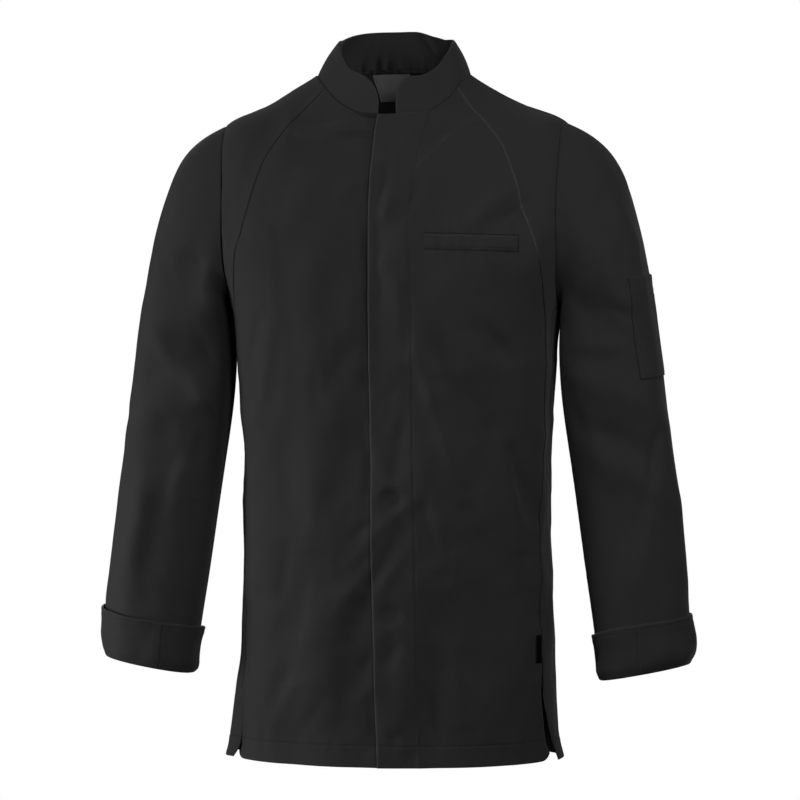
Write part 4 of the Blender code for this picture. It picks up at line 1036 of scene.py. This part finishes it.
def mouth_relief(q, v):
    """The front sinks under the welt's top edge, where its pocket opens, and pulls there."""
    x, _, z = np.moveaxis(torso_base(q, v), -1, 0)
    (x0, low0), (x1, low1), (_, top0), (_, top1) = WELT
    share = (x - x0) / (x1 - x0)
    top = z - (top0 + (top1 - top0) * share)
    low = z - (low0 + (low1 - low0) * share)
    inside = smooth(-0.02, 0.02, share) * smooth(1.02, 0.98, share)
    return (-0.0008 * bell(top - 0.0008, 0.0030) - 0.0004 * bell(low + 0.0030, 0.0010)
            + 0.0010 * ripple(x, 71, 0.009, 0.022) * bell(low + 0.007, 0.009)
            + 0.0008 * ripple(x, 72, 0.009, 0.022) * bell(top - 0.009, 0.008)) * inside


def build_front(name, side):
    """The wearer's left front lies on top, with the placket; the right one under it."""
    on_top = side > 0
    start = top_edge_q(CENTRE) if on_top else -q_at_x(UNDER_EDGE_X, CENTRE)
    stitch_at = placket_stitch(TORSO["z_front"](CENTRE))
    q, v, left, right = panel_grid(CENTRE, start, MIDDLE, raglan_q(MIDDLE),
                                   [(stitch_at, LINE)] if on_top else ())
    rise, lit = v * SIDE_LENGTH, lit_seam(side)
    relief = (hem_relief(rise, left, 11 + side) + neck_side(v, left, 41 + side)
              + seam_side(right, rise, 21 + side, 0.0004 * lit, 0.0006 * (1 - lit)) * ABOVE_VENT
              + (folded_edge(right) + stitched(right - VENT_STITCH, rise, 31)) * BELOW_VENT
              + folded_edge(left, 0.0007 if on_top else 0.0005))
    if on_top:
        stitch = left - stitch_at[:, None]
        relief = (relief + stitched(stitch, rise, 51) + mouth_relief(q, v)
                  + 0.0004 * (1 - smooth(-0.0006, 0.0010, stitch)))
    # the free front edge is paler, worn and with a painted highlight; where lit, the raised
    # raglan edge gets a strong painted highlight
    wear = (edge_tone(left, np.where(BELOW_VENT + lit > 0.5, 1.0, right)) + hem_tone(rise)
            + 0.3 * edge_tone(np.where(BELOW_VENT > 0.5, right, 1.0))
            + 1.5 * bell(right, 0.0011) * lit)
    corner = np.exp(-(right / CORNER_WIDTH) ** 1.5 - (rise / CORNER_HEIGHT) ** 2)
    q = q * side
    panel = torso_panel(name, q, v, left, wear, relief + front_lift(q, v, side),
                        lift=CORNER_LIFT * corner)
    sew(name, panel, np.s_[nearest(rise[:, 0], HEM_STITCH), 3:-3])
    at_vent = np.nonzero((rise[:, -1] > 0.003) & (rise[:, -1] < VENT_TOP - HEM_Z))[0]
    sew(name, panel, np.s_[at_vent, nearest(right[0], VENT_STITCH)])
    if on_top:
        half = len(left) // 2
        sew(name, panel, np.s_[4:-4, nearest(left[half], stitch_at[half])])


def build_side(name, side):
    front = raglan_q(MIDDLE) - VENT_LAP[side] * smooth(VENT_TOP, HEM_Z, MIDDLE_Z)
    q, v, left, right = panel_grid(MIDDLE, front, EDGE, rear_edge_q(EDGE), fan=-1)
    rise, lit = v * SIDE_LENGTH, lit_seam(side)
    relief = (hem_relief(rise, left, 13 + side) + neck_side(v, left, 43 + side)
              + seam_step(left, rise, 21 + side, 0.0006 + 0.0002 * side, lit) * ABOVE_VENT
              + folded_edge(left) * BELOW_VENT
              + seam_side(right, rise, 33 + side, np.where(AT_ARM, 0.0, 0.0004),
                          np.where(AT_ARM, 0.0002, 0.0005)))
    # where lit, the side panel's raised raglan edge gets a painted highlight
    wear = (0.3 * edge_tone(np.where(BELOW_VENT > 0.5, left, 1.0)) + hem_tone(rise)
            + edge_tone(sewn=np.where(BELOW_VENT + lit > 0.5, 1.0, left))
            + np.where(AT_ARM, 0.5, 1.0) * edge_tone(sewn=right) + bell(left, 0.0006) * lit)
    panel = torso_panel(name, q * side, v, left, wear, relief, flare=1.0)
    sew(name, panel, np.s_[nearest(rise[:, 0], HEM_STITCH), 3:])


def build_back():
    q, v, left, _ = panel_grid(EDGE, rear_edge_q(EDGE, back=True), CENTRE,
                               np.full_like(CENTRE, 180.0), fan=1, last_gap=0.0, step=BACK_CELL)
    q[:, -1] = 180.0

    def whole(half, twice=None):
        """Both halves of the back, from its left one; twice is the middle's value doubled."""
        other = half[:, -2::-1]
        return np.concatenate([half, other if twice is None else twice - other], axis=1)
    q, v, near, along = whole(q, 360.0), whole(v), whole(left), whole(left, 2 * left[:, -1:])
    rise = v * SIDE_LENGTH
    relief = (hem_relief(rise, along, 15) + neck_side(v, along, 45)
              + seam_side(near, rise, 25, np.where(AT_ARM, 0.0, 0.0005),
                          np.where(AT_ARM, 0.0002, 0.0005)))
    wear = hem_tone(rise) + np.where(AT_ARM, 0.5, 1.0) * edge_tone(sewn=near)
    panel = torso_panel("back", q, v, along, wear, relief, flare=1.0)
    sew("back", panel, nearest(rise[:, left.shape[1] - 1], HEM_STITCH))


# ---- sleeves -------------------------------------------------------------
def build_sleeve(word, side):
    """Closed tube from the armhole to just short of the cuff's fold."""
    angle = 180.0 - 360.0 * np.linspace(0.0, 1.0, SLEEVE_AROUND + 1)[:-1]
    cap = EDGE_IN / SLEEVE_LENGTH
    u = np.concatenate([cap, np.linspace(cap[-1], SLEEVE_END, SLEEVE_ALONG + 1)[1:]])
    a, uu = np.meshgrid(angle, u)
    away = np.abs(wrap(a))
    around, along = np.radians(wrap(a)) * SLEEVE_REACH, uu * SLEEVE_LENGTH
    under = np.radians(180.0 - away) * 0.055      # from the seam under the arm
    gathers = 0.0006 * ripple(around, 85 + side, 0.012, 0.034) * np.exp(-along / 0.020)
    relief = (seam_side(along, around, 81 + side, 0.0002, 0.0002)
              + gathers * smooth(120.0, 40.0, away) * smooth(0.0, 0.004, along)
              + seam_side(under, along, 83 + side, 0.0003))
    outer, n = sleeve(a, uu, side, relief)
    facing = grid_normals(outer, n, closed=True)
    near = np.nonzero(np.abs(angle) < 100.0)[0][::-1]       # columns by rising angle
    name = "sleeve_" + word
    GRIDS[name] = (u, angle[near], outer[:, near], facing[:, near])
    cloth(name, outer, outer - facing * CLOTH, closed=True, grain=(around, -along),
          wear=0.5 * edge_tone(sewn=np.minimum(along, under)))


def build_cuff(name, side):
    """Turned-back band round the end of the sleeve, open at its own seam."""
    start = np.array([0.10, 0.25, 0.5, 0.9, 1.5, 2.4])
    around = np.concatenate([start, np.arange(4.0, 356.5, 2.6),
                             [357.6, 358.5, 359.1, 359.5, 359.75, 359.9]])
    angle = CUFF_SEAM[side] - around
    wave = np.sin(np.radians(2 * angle + 40 * side)) + 0.5 * np.cos(np.radians(angle))
    top = (CUFF_TOP + CUFF_TOP_WAVE * wave
           + 0.0012 * ripple(np.radians(angle) * CUFF_REACH, 91 + side, 0.020, 0.080))
    # rows down its outside, round the fold and up inside: how far along the sleeve, and off it
    rows = []
    for share in np.concatenate([EDGE_IN / CUFF_TALL, np.linspace(0.17, 0.96, 15)]):
        belly = (CUFF_BELLY[side] * (0.55 + 0.45 * np.cos(np.radians(angle)))
                 * math.sin(math.pi * share ** 1.8))
        rows.append((top * (1 - share) + CUFF_FOLD * share,
                     CUFF_OFF[0] + (CUFF_OFF[1] - CUFF_OFF[0]) * share ** 0.7 + belly))
    for turn in np.radians(np.linspace(15.0, 165.0, 7)):
        rows.append((CUFF_FOLD + math.sin(turn) * CUFF_FOLD_RADIUS / SLEEVE_LENGTH,
                     -CLOTH / 2 + CUFF_FOLD_RADIUS * math.cos(turn)))
    for share in (0.0, 0.35, 0.7, 1.0):
        rows.append((CUFF_FOLD - CUFF_INSIDE * share, -CLOTH / 2 - CUFF_FOLD_RADIUS))
    u, off = (np.stack([row[k] + 0 * top for row in rows]) for k in (0, 1))
    a = np.broadcast_to(angle, u.shape)
    middle = sleeve(a, u, side, off)[0]
    along = (u - top) * SLEEVE_LENGTH
    arc = np.broadcast_to(np.radians(around) * CUFF_REACH, u.shape)
    outside = smooth(CUFF_FOLD + 0.002, CUFF_FOLD - 0.004, u) * (off > 0)
    relief = (folded_edge(along) + stitched(along - CUFF_STITCH, arc, 93 + side, 0.00035, 0.0002)
              + 2.0 * folds(CUFF_CREASES[side], arc, along)
              + 0.0020 * uneven(middle, (0.018, 0.018, 0.026), 31)
              + seam_side(np.minimum(arc, arc[:, ::-1]), along, 95 + side, 0.0004)) * outside
    like = sleeve(a, u, side)[1][:8]        # its upper rows face as the sleeve does
    middle = middle + grid_normals(middle, like) * relief[..., None]
    facing = grid_normals(middle, like)
    outer = middle + facing * CUFF / 2
    # its rounded top edge is paler, worn and with a painted highlight; it is paler again at the
    # fold
    cloth(name, outer, middle - facing * CUFF / 2, bulge=0.0004, grain=(arc, along),
          wear=0.25 * bell(along, 0.0020) + 0.3 * bell(along - 0.056, 0.004))
    sew(name, (outer, facing), np.s_[nearest(along[:, 40], CUFF_STITCH), 4:-4])


# ---- collar --------------------------------------------------------------
collar_lean, collar_stand = table_spline(COLLAR_STATIONS), table_spline(COLLAR_STATIONS, 2)


def collar_point(q, h):
    """Collar's outside at q degrees round, h from 0 at its seam to 1 at its top edge."""
    q, h = np.broadcast_arrays(np.asarray(q, float), np.asarray(h, float))
    base = torso_base(q, 1.0 + 0 * q)
    inward = unit(-base * np.array([1.0, 1.0, 0.0]))
    lean = collar_lean(np.abs(q)) * (1 - 0.22 * plateau(q, *COLLAR_FRONT))
    stand = collar_stand(np.abs(q)) + 0.0022 * bell(q + 92.0, 16.0)
    bow = 0.0025 * np.sin(np.pi * h) * smooth(20.0, 80.0, np.abs(q))
    return (base + inward * (lean * h - bow)[..., None]
            + np.array([0.0, 0.0, 1.0]) * (stand * h + 0.0006)[..., None])


def build_collar():
    height = np.concatenate([[0.0, 0.008, 0.020, 0.036, 0.055, 0.075, 0.10, 0.13],
                             np.linspace(0.16, 0.93, 20), [0.955, 0.975, 0.988, 0.996, 1.0]])

    def end_at(start, size):
        over = np.clip((height - start) / (1 - start), 0.0, 1.0)
        return q_at_x(COLLAR_GAP_X + size * (1 - np.sqrt(1 - over ** 2)), 1.0)[:, None]
    left_q, right_q = end_at(0.40, COLLAR_ROUND_LEFT), end_at(0.25, COLLAR_ROUND_RIGHT)
    w = np.concatenate([[0.0, 0.0008, 0.0020, 0.0035], np.linspace(0.0, 1.0, 215)[2:-2],
                        [0.9965, 0.9980, 0.9992, 1.0]])
    q = wrap(left_q * (1 - w) + (360.0 - right_q) * w)
    h = np.repeat(height[:, None], len(w), 1)
    n = normals(collar_point, q, np.clip(h, 0.02, 0.98), 1.0, 0.02)
    around = np.radians(np.where(q < 0, q + 360.0, q)) * COLLAR_REACH
    rise = h * COLLAR_TALL
    edge = np.minimum(w, 1 - w) * COLLAR_ROUND + 0 * rise
    relief = (seam_side(rise, around, 101, 0.0003, 0.0002)
              + stitched(rise - COLLAR_STITCH, around, 102, 0.0002, 0.0001)
              + folded_edge(COLLAR_TALL - rise, 0.0003) + folded_edge(edge, 0.0003))
    outer = collar_point(q, h) + n * relief[..., None]
    behind = smooth(95.0, 125.0, np.abs(q))
    gather = ripple(around, 105, 0.0075, 0.0160, 6) * bell(rise, 0.0120) * behind
    waves = 0.0005 * ripple(around, 106, 0.020, 0.060) * np.sin(np.pi * h)
    inside = (seam_side(rise, around, 107, 0.0004) + 0.0032 * gather
              + (folds(COLLAR_FOLDS, q / 1000, h * 0.05) + waves) * behind)
    inner = outer - n * (COLLAR + np.clip(inside, -0.0006, 0.0045))[..., None]
    # the inner layer is sewn down over the neck seam, inside the panels
    low, low_n = torso(q[0], 1.0 - NECK_FACING / SIDE_LENGTH + 0 * q[0], -CLOTH - 0.0005)
    turn = outer[0] - n[0] * (CLOTH + 0.0005)
    outer = np.concatenate([[low, turn], outer])
    inner = np.concatenate([[low - low_n * 0.0009, turn - n[0] * 0.0009], inner])
    around, rise, edge, gather, n = (
        np.concatenate([grid[:1], grid[:1], grid]) for grid in (around, rise, edge, gather, n))
    rise[0] = -NECK_FACING
    wear = 0.4 * bell(COLLAR_TALL - rise, 0.0018) + 0.4 * bell(edge, 0.0014)
    inside_tone_with_painted_shade = wear - 1.6 * np.maximum(-gather, 0.0)     # painted shade in the gathers' deep parts
    cloth("collar", outer, inner, bulge=0.0006, grain=(around, rise), wear=wear,
          inside_wear=inside_tone_with_painted_shade)
    row = 2 + nearest(rise[2:, 0], COLLAR_STITCH)
    sew("collar", (outer, n), np.s_[row, 3:-3], pitch=0.0026, length=0.0019)


# ---- pieces sewn on ------------------------------------------------------
def patch_rows(length, step=0.0022):
    """Places along a small piece, dense at both ends."""
    edge = EDGE_IN[:5]
    inside = np.linspace(edge[-1], length - edge[-1], max(2, int(length / step)))[1:-1]
    return np.concatenate([edge, inside, length - edge[::-1]]) / length


def build_welt():
    (x0, z0), (x1, z1), (_, z2), _ = WELT
    width, height = math.hypot(x1 - x0, z1 - z0), z2 - z0
    over = np.array([0.0002, 0.0009, 0.0015]) / height      # the painted shadow of the pocket's mouth, above the welt
    s, t = np.meshgrid(patch_rows(width), np.append(patch_rows(height, 0.0012), 1.0 + over))
    x, z = ((a * (1 - s) + b * s) * (1 - t) + (c * (1 - s) + d * s) * t
            for a, b, c, d in zip(*WELT))
    v = v_at(x, z)
    place, facing = on_panel("front_left", q_at_x(x, v), v)
    left, low, top = s * width, t * height, np.maximum(1 - t, 0.0) * height
    ends = np.minimum(left, width - left)
    crown = np.sin(np.pi * np.minimum(t, 1.0)) ** 0.7
    flat = smooth(0.0, 0.0045, low) * (0.35 + 0.65 * smooth(0.0, 0.0040, ends))
    relief = (0.0006 + 0.0006 * flat + folded_edge(top, 0.0003)
              + 0.0011 * ripple(left, 112, 0.008, 0.020) * crown
              + stitched(ends - WELT_STITCH, low, 113, 0.0003, 0.0001))
    on_welt = t <= 1.0
    outer = place + facing * np.where(on_welt, relief, 0.0003)[..., None]
    # painted highlights on the folded top edge and the end near the placket, painted shade on the
    # outer end, darker lines along the sewn bottom
    wear = (0.5 * bell(top - 0.0010, 0.0009) - 0.5 * bell(low, 0.0009)
            - 0.3 * bell(low - 0.0036, 0.0009) - 0.6 * bell(width - left, 0.0011)
            + 0.3 * bell(left, 0.0011))
    # the strip above the welt is at the darkest tone: a painted shadow of the pocket's mouth
    cloth("chest_welt", outer, place + facing * 0.0001, bulge=0.0003, grain=(low, left),
          wear=np.where(on_welt, wear, -1.0))
    for column in (3, -4):
        sew("chest_welt", (outer, facing), np.s_[:-3, column], pitch=0.0017, length=0.0014)
    share = np.linspace(0.0, 1.0, 60)
    x, z = x0 + (x1 - x0) * share, z0 + (z1 - z0) * share - 0.0030
    v = v_at(x, z)
    sew("chest_welt", on_panel("front_left", q_at_x(x, v), v))


def sleeve_u_at(angle, z):
    """How far along the sleeve a height is, at an angle."""
    dense = np.linspace(0.0, 1.0, 301)
    out = np.zeros(np.shape(angle))
    for one in np.unique(angle):
        mine = angle == one
        out[mine] = np.interp(-z[mine], -sleeve_base(one, dense)[:, 2], dense)
    return out


def build_sleeve_pocket():
    high, low = POCKET_DEGREES
    width = math.radians(high - low) * POCKET_REACH
    length = POCKET_TOP - POCKET_LOW
    s, t = np.meshgrid(patch_rows(width), patch_rows(length))
    angle = high + (low - high) * s
    height = POCKET_LOW + length * t - POCKET_SLANT * np.sin(np.radians(angle))
    us, angles, points, norms = GRIDS["sleeve_left"]
    i = np.interp(sleeve_u_at(angle, height), us, np.arange(len(us)))
    j = np.interp(angle, angles, np.arange(len(angles)))
    place, facing = bilinear(points, i, j), unit(bilinear(norms, i, j))
    left, bottom, top = s * width, t * length, (1 - t) * length
    side = np.minimum(left, width - left)
    edge = np.minimum(side, bottom)
    relief = (folded_edge(side, 0.0003) + folded_edge(bottom, 0.0003) + folded_edge(top)
              + stitched(edge - POCKET_STITCH, left + bottom, 121, 0.0004, 0.00015)
              + stitched(top - POCKET_HEM, left, 122, 0.0004, 0.0002)
              + (0.0010 * bell(top - 0.001, 0.008)
                 + 0.0006 * ripple(left, 123, 0.014, 0.030) * np.sin(np.pi * t) ** 0.5)
              * np.sin(np.pi * s))
    outer = place + facing * (0.0011 + relief)[..., None]
    cloth("sleeve_pocket", outer, place + facing * 0.0003, bulge=0.0003, grain=(left, bottom),
          wear=0.6 * edge_tone(sewn=np.minimum(edge, top)))
    hem = nearest(top[:, 0], POCKET_HEM)
    for at in (np.s_[3:, 3], np.s_[3:, -4], np.s_[3, 3:-3], np.s_[hem, 3:-3]):
        sew("sleeve_pocket", (outer, facing), at)


def build_label():
    w = np.linspace(0.0, 1.0, 30)
    v = v_at(0.0, np.linspace(LABEL_LOW, LABEL_TOP, 22), front=False)
    per_metre = degrees_per_metre(180.0, v)[:, None]
    middle, half = 180.0 + LABEL_OFF_CENTRE * per_metre, LABEL_HALF_WIDTH * per_metre
    q = (middle - half) * (1 - w) + (middle + half) * w
    place, facing = on_panel("back", q, v[:, None] + 0 * q)
    s, t = np.meshgrid(w, np.linspace(0.0, 1.0, len(v)))
    across, up = s * 2 * LABEL_HALF_WIDTH, t * LABEL_TALL
    edge = np.minimum(np.minimum(s, 1 - s) * 2 * LABEL_HALF_WIDTH,
                      np.minimum(t, 1 - t) * LABEL_TALL)
    curl = 0.0007 * smooth(0.55, 0.0, t) * np.cos(np.pi * (s - 0.3) * 1.6)
    relief = stitched(edge - LABEL_STITCH, across + up, 131, 0.00025, 0.0001) + curl
    shown = place - facing * (CLOTH + 0.0011 + relief)[..., None]
    cloth("neck_label", shown, place - facing * (CLOTH + 0.0004), bulge=0.0001,
          grain=(across, up), wear=bell(edge, 0.0008))
    wide, tall = np.linspace(0.05, 0.95, 20), np.linspace(0.07, 0.93, 12)
    ring_s = np.concatenate([wide, np.full(12, 0.95), wide[::-1], np.full(12, 0.05)])
    ring_t = np.concatenate([np.full(20, 0.07), tall, np.full(20, 0.93), tall[::-1]])
    i, j = ring_t * (len(v) - 1), ring_s * (len(w) - 1)
    sew("label", (bilinear(shown, i, j), -facing[i.astype(int), j.astype(int)]),
        pitch=0.0022, length=0.0016, radius=0.00016)


def build_tab():
    """Folded ribbon caught in the front's seam."""
    v = v_at(TAB_X, np.linspace(TAB_LOW, TAB_TOP, 26))
    right = raglan_q(v) - 0.6
    left = right - TAB_WIDTH * degrees_per_metre(right, v)
    w = np.linspace(0.0, 1.0, 10)
    q = left[:, None] * (1 - w) + right[:, None] * w
    place, facing = on_panel("front_left", q, v[:, None] + 0 * q)
    s, t = np.meshgrid(w, np.linspace(0.0, 1.0, len(v)))
    puff = 0.0009 * (1 - s) ** 0.5 * (1 - np.abs(2 * t - 1) ** 6)
    cloth("side_tab", place + facing * (0.0010 + puff)[..., None], place + facing * 0.0004,
          bulge=0.0002, grain=(s * TAB_WIDTH, t * TAB_LENGTH), wear=bell(s, 0.1))


def build_bar_tack():
    """Dense short rows of thread at the placket's top."""
    v = v_at(TACK_X, np.linspace(TACK_TOP, TACK_LOW, 8))
    for shift in (-0.0005, 0.0, 0.0005):
        sew("front_right", on_panel("front_right", q_at_x(TACK_X + shift, v), v),
            pitch=0.0011, length=0.0010, radius=0.0003)


def dress_studs():
    for i in range(1, len(STUD_HEIGHTS) + 1):
        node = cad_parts[f"stud_{i}"]
        node.data.materials.clear()
        node.data.materials.append(STUD)


# ---- studio --------------------------------------------------------------
ROOM = 0.012                # brightness of the room on the jacket; the camera sees it white
LIGHTS = (                  # softboxes: place, width, watts
    ("left_top", (-1.90, -0.51, 1.00), 0.6, 8.2),
    ("left_front", (-1.36, -1.94, -0.05), 0.6, 11.2),
    ("left_near", (-1.18, -0.38, -0.64), 0.5, 10.4),
    ("right_front", (0.95, -2.05, 0.30), 0.6, 19.5),
    ("right_near", (1.00, -0.90, 0.12), 0.5, 5.6),
    ("top", (0.50, -1.20, 1.70), 0.6, 10.5),
    ("behind", (-0.70, 4.95, 0.50), 0.6, 150.0),
)
AIM = Vector((0.0, 0.0, -0.38))
CAMERA_AZIMUTH, CAMERA_DISTANCE, CAMERA_Z, CAMERA_SHIFT = 8.0, 4.0, -0.365, 0.0028
FRAME_WIDTH = 0.912         # metres across the picture at the jacket's middle
SENSOR = 36.0
FLOOR_Z, FLOOR_RADIUS = -1.55, 5.0
FADE_START, FADE_LENGTH = 1.6, 2.6      # the floor fades to white this far out


def add_object(name, data):
    item = bpy.data.objects.new(name, data)
    bpy.context.scene.collection.objects.link(item)
    return item


def build_lights():
    for name, place, width, power in LIGHTS:
        light = bpy.data.lights.new(name, "AREA")
        light.shape = "RECTANGLE"
        light.size = light.size_y = width
        light.energy = power
        item = add_object(name, light)
        item.location = place
        item.rotation_mode = "QUATERNION"
        item.rotation_quaternion = (AIM - Vector(place)).to_track_quat("-Z", "Y")
        item.visible_camera = False


def build_camera():
    data = bpy.data.cameras.new("camera")
    data.sensor_width = SENSOR
    data.lens = SENSOR * CAMERA_DISTANCE / FRAME_WIDTH
    camera = add_object("camera", data)
    turn = math.radians(CAMERA_AZIMUTH)
    s, c = math.sin(turn), math.cos(turn)
    camera.location = (s * CAMERA_DISTANCE + c * CAMERA_SHIFT,
                       -c * CAMERA_DISTANCE + s * CAMERA_SHIFT, CAMERA_Z)
    camera.rotation_euler = (math.pi / 2, 0.0, turn)
    bpy.context.scene.camera = camera


def build_room():
    scene = bpy.context.scene
    scene.view_settings.view_transform = "Standard"
    scene.world = bpy.data.worlds.new("studio")
    scene.world.use_nodes = True
    tree = scene.world.node_tree
    background = tree.nodes["Background"]
    background.inputs["Strength"].default_value = 1.0
    shade = new_node(tree, "Mix", data_type="RGBA")     # its colours are inputs 6 and 7
    seen = new_node(tree, "LightPath").outputs["Is Camera Ray"]
    tree.links.new(seen, shade.inputs[0])
    shade.inputs[6].default_value = (ROOM, ROOM, ROOM, 1.0)
    shade.inputs[7].default_value = (1.0, 1.0, 1.0, 1.0)
    tree.links.new(shade.outputs[2], background.inputs["Color"])


def build_floor():
    """A pale disc that lights nothing and fades to white."""
    work = bmesh.new()
    bmesh.ops.create_circle(work, cap_ends=True, segments=96, radius=FLOOR_RADIUS)
    mesh = bpy.data.meshes.new("floor")
    work.to_mesh(mesh)
    work.free()
    floor = add_object("floor", mesh)
    floor.location = (0.0, 0.0, FLOOR_Z)
    floor.visible_diffuse = floor.visible_glossy = False
    material, shader, where = new_material(
        "pale_floor", Base_Color=(0.86, 0.86, 0.86, 1.0), Roughness=0.9, Specular_IOR_Level=0.1)
    tree = material.node_tree
    measure = new_node(tree, "VectorMath", operation="LENGTH")
    where.into(measure.inputs[0])
    fade = Value(tree, measure.outputs["Value"]) - FADE_START
    glow = new_node(tree, "Emission")
    glow.inputs["Color"].default_value = (1.0, 1.0, 1.0, 1.0)
    mix = new_node(tree, "MixShader")
    fade.math("DIVIDE", FADE_LENGTH, clamp=True).into(mix.inputs["Fac"])
    tree.links.new(shader.outputs[0], mix.inputs[1])
    tree.links.new(glow.outputs[0], mix.inputs[2])
    tree.links.new(mix.outputs[0], tree.nodes["Material Output"].inputs["Surface"])
    mesh.materials.append(material)


SIDES = (("left", 1), ("right", -1))
for word, side in SIDES:
    build_front("front_" + word, side)
for word, side in SIDES:
    build_side("side_" + word, side)
build_back()
for word, side in SIDES:
    build_sleeve(word, side)
    build_cuff("cuff_" + word, side)
build_collar()
build_welt()
build_sleeve_pocket()
build_label()
build_tab()
build_bar_tack()
dress_studs()
finish_sewing()
build_camera()
build_room()
build_lights()
build_floor()
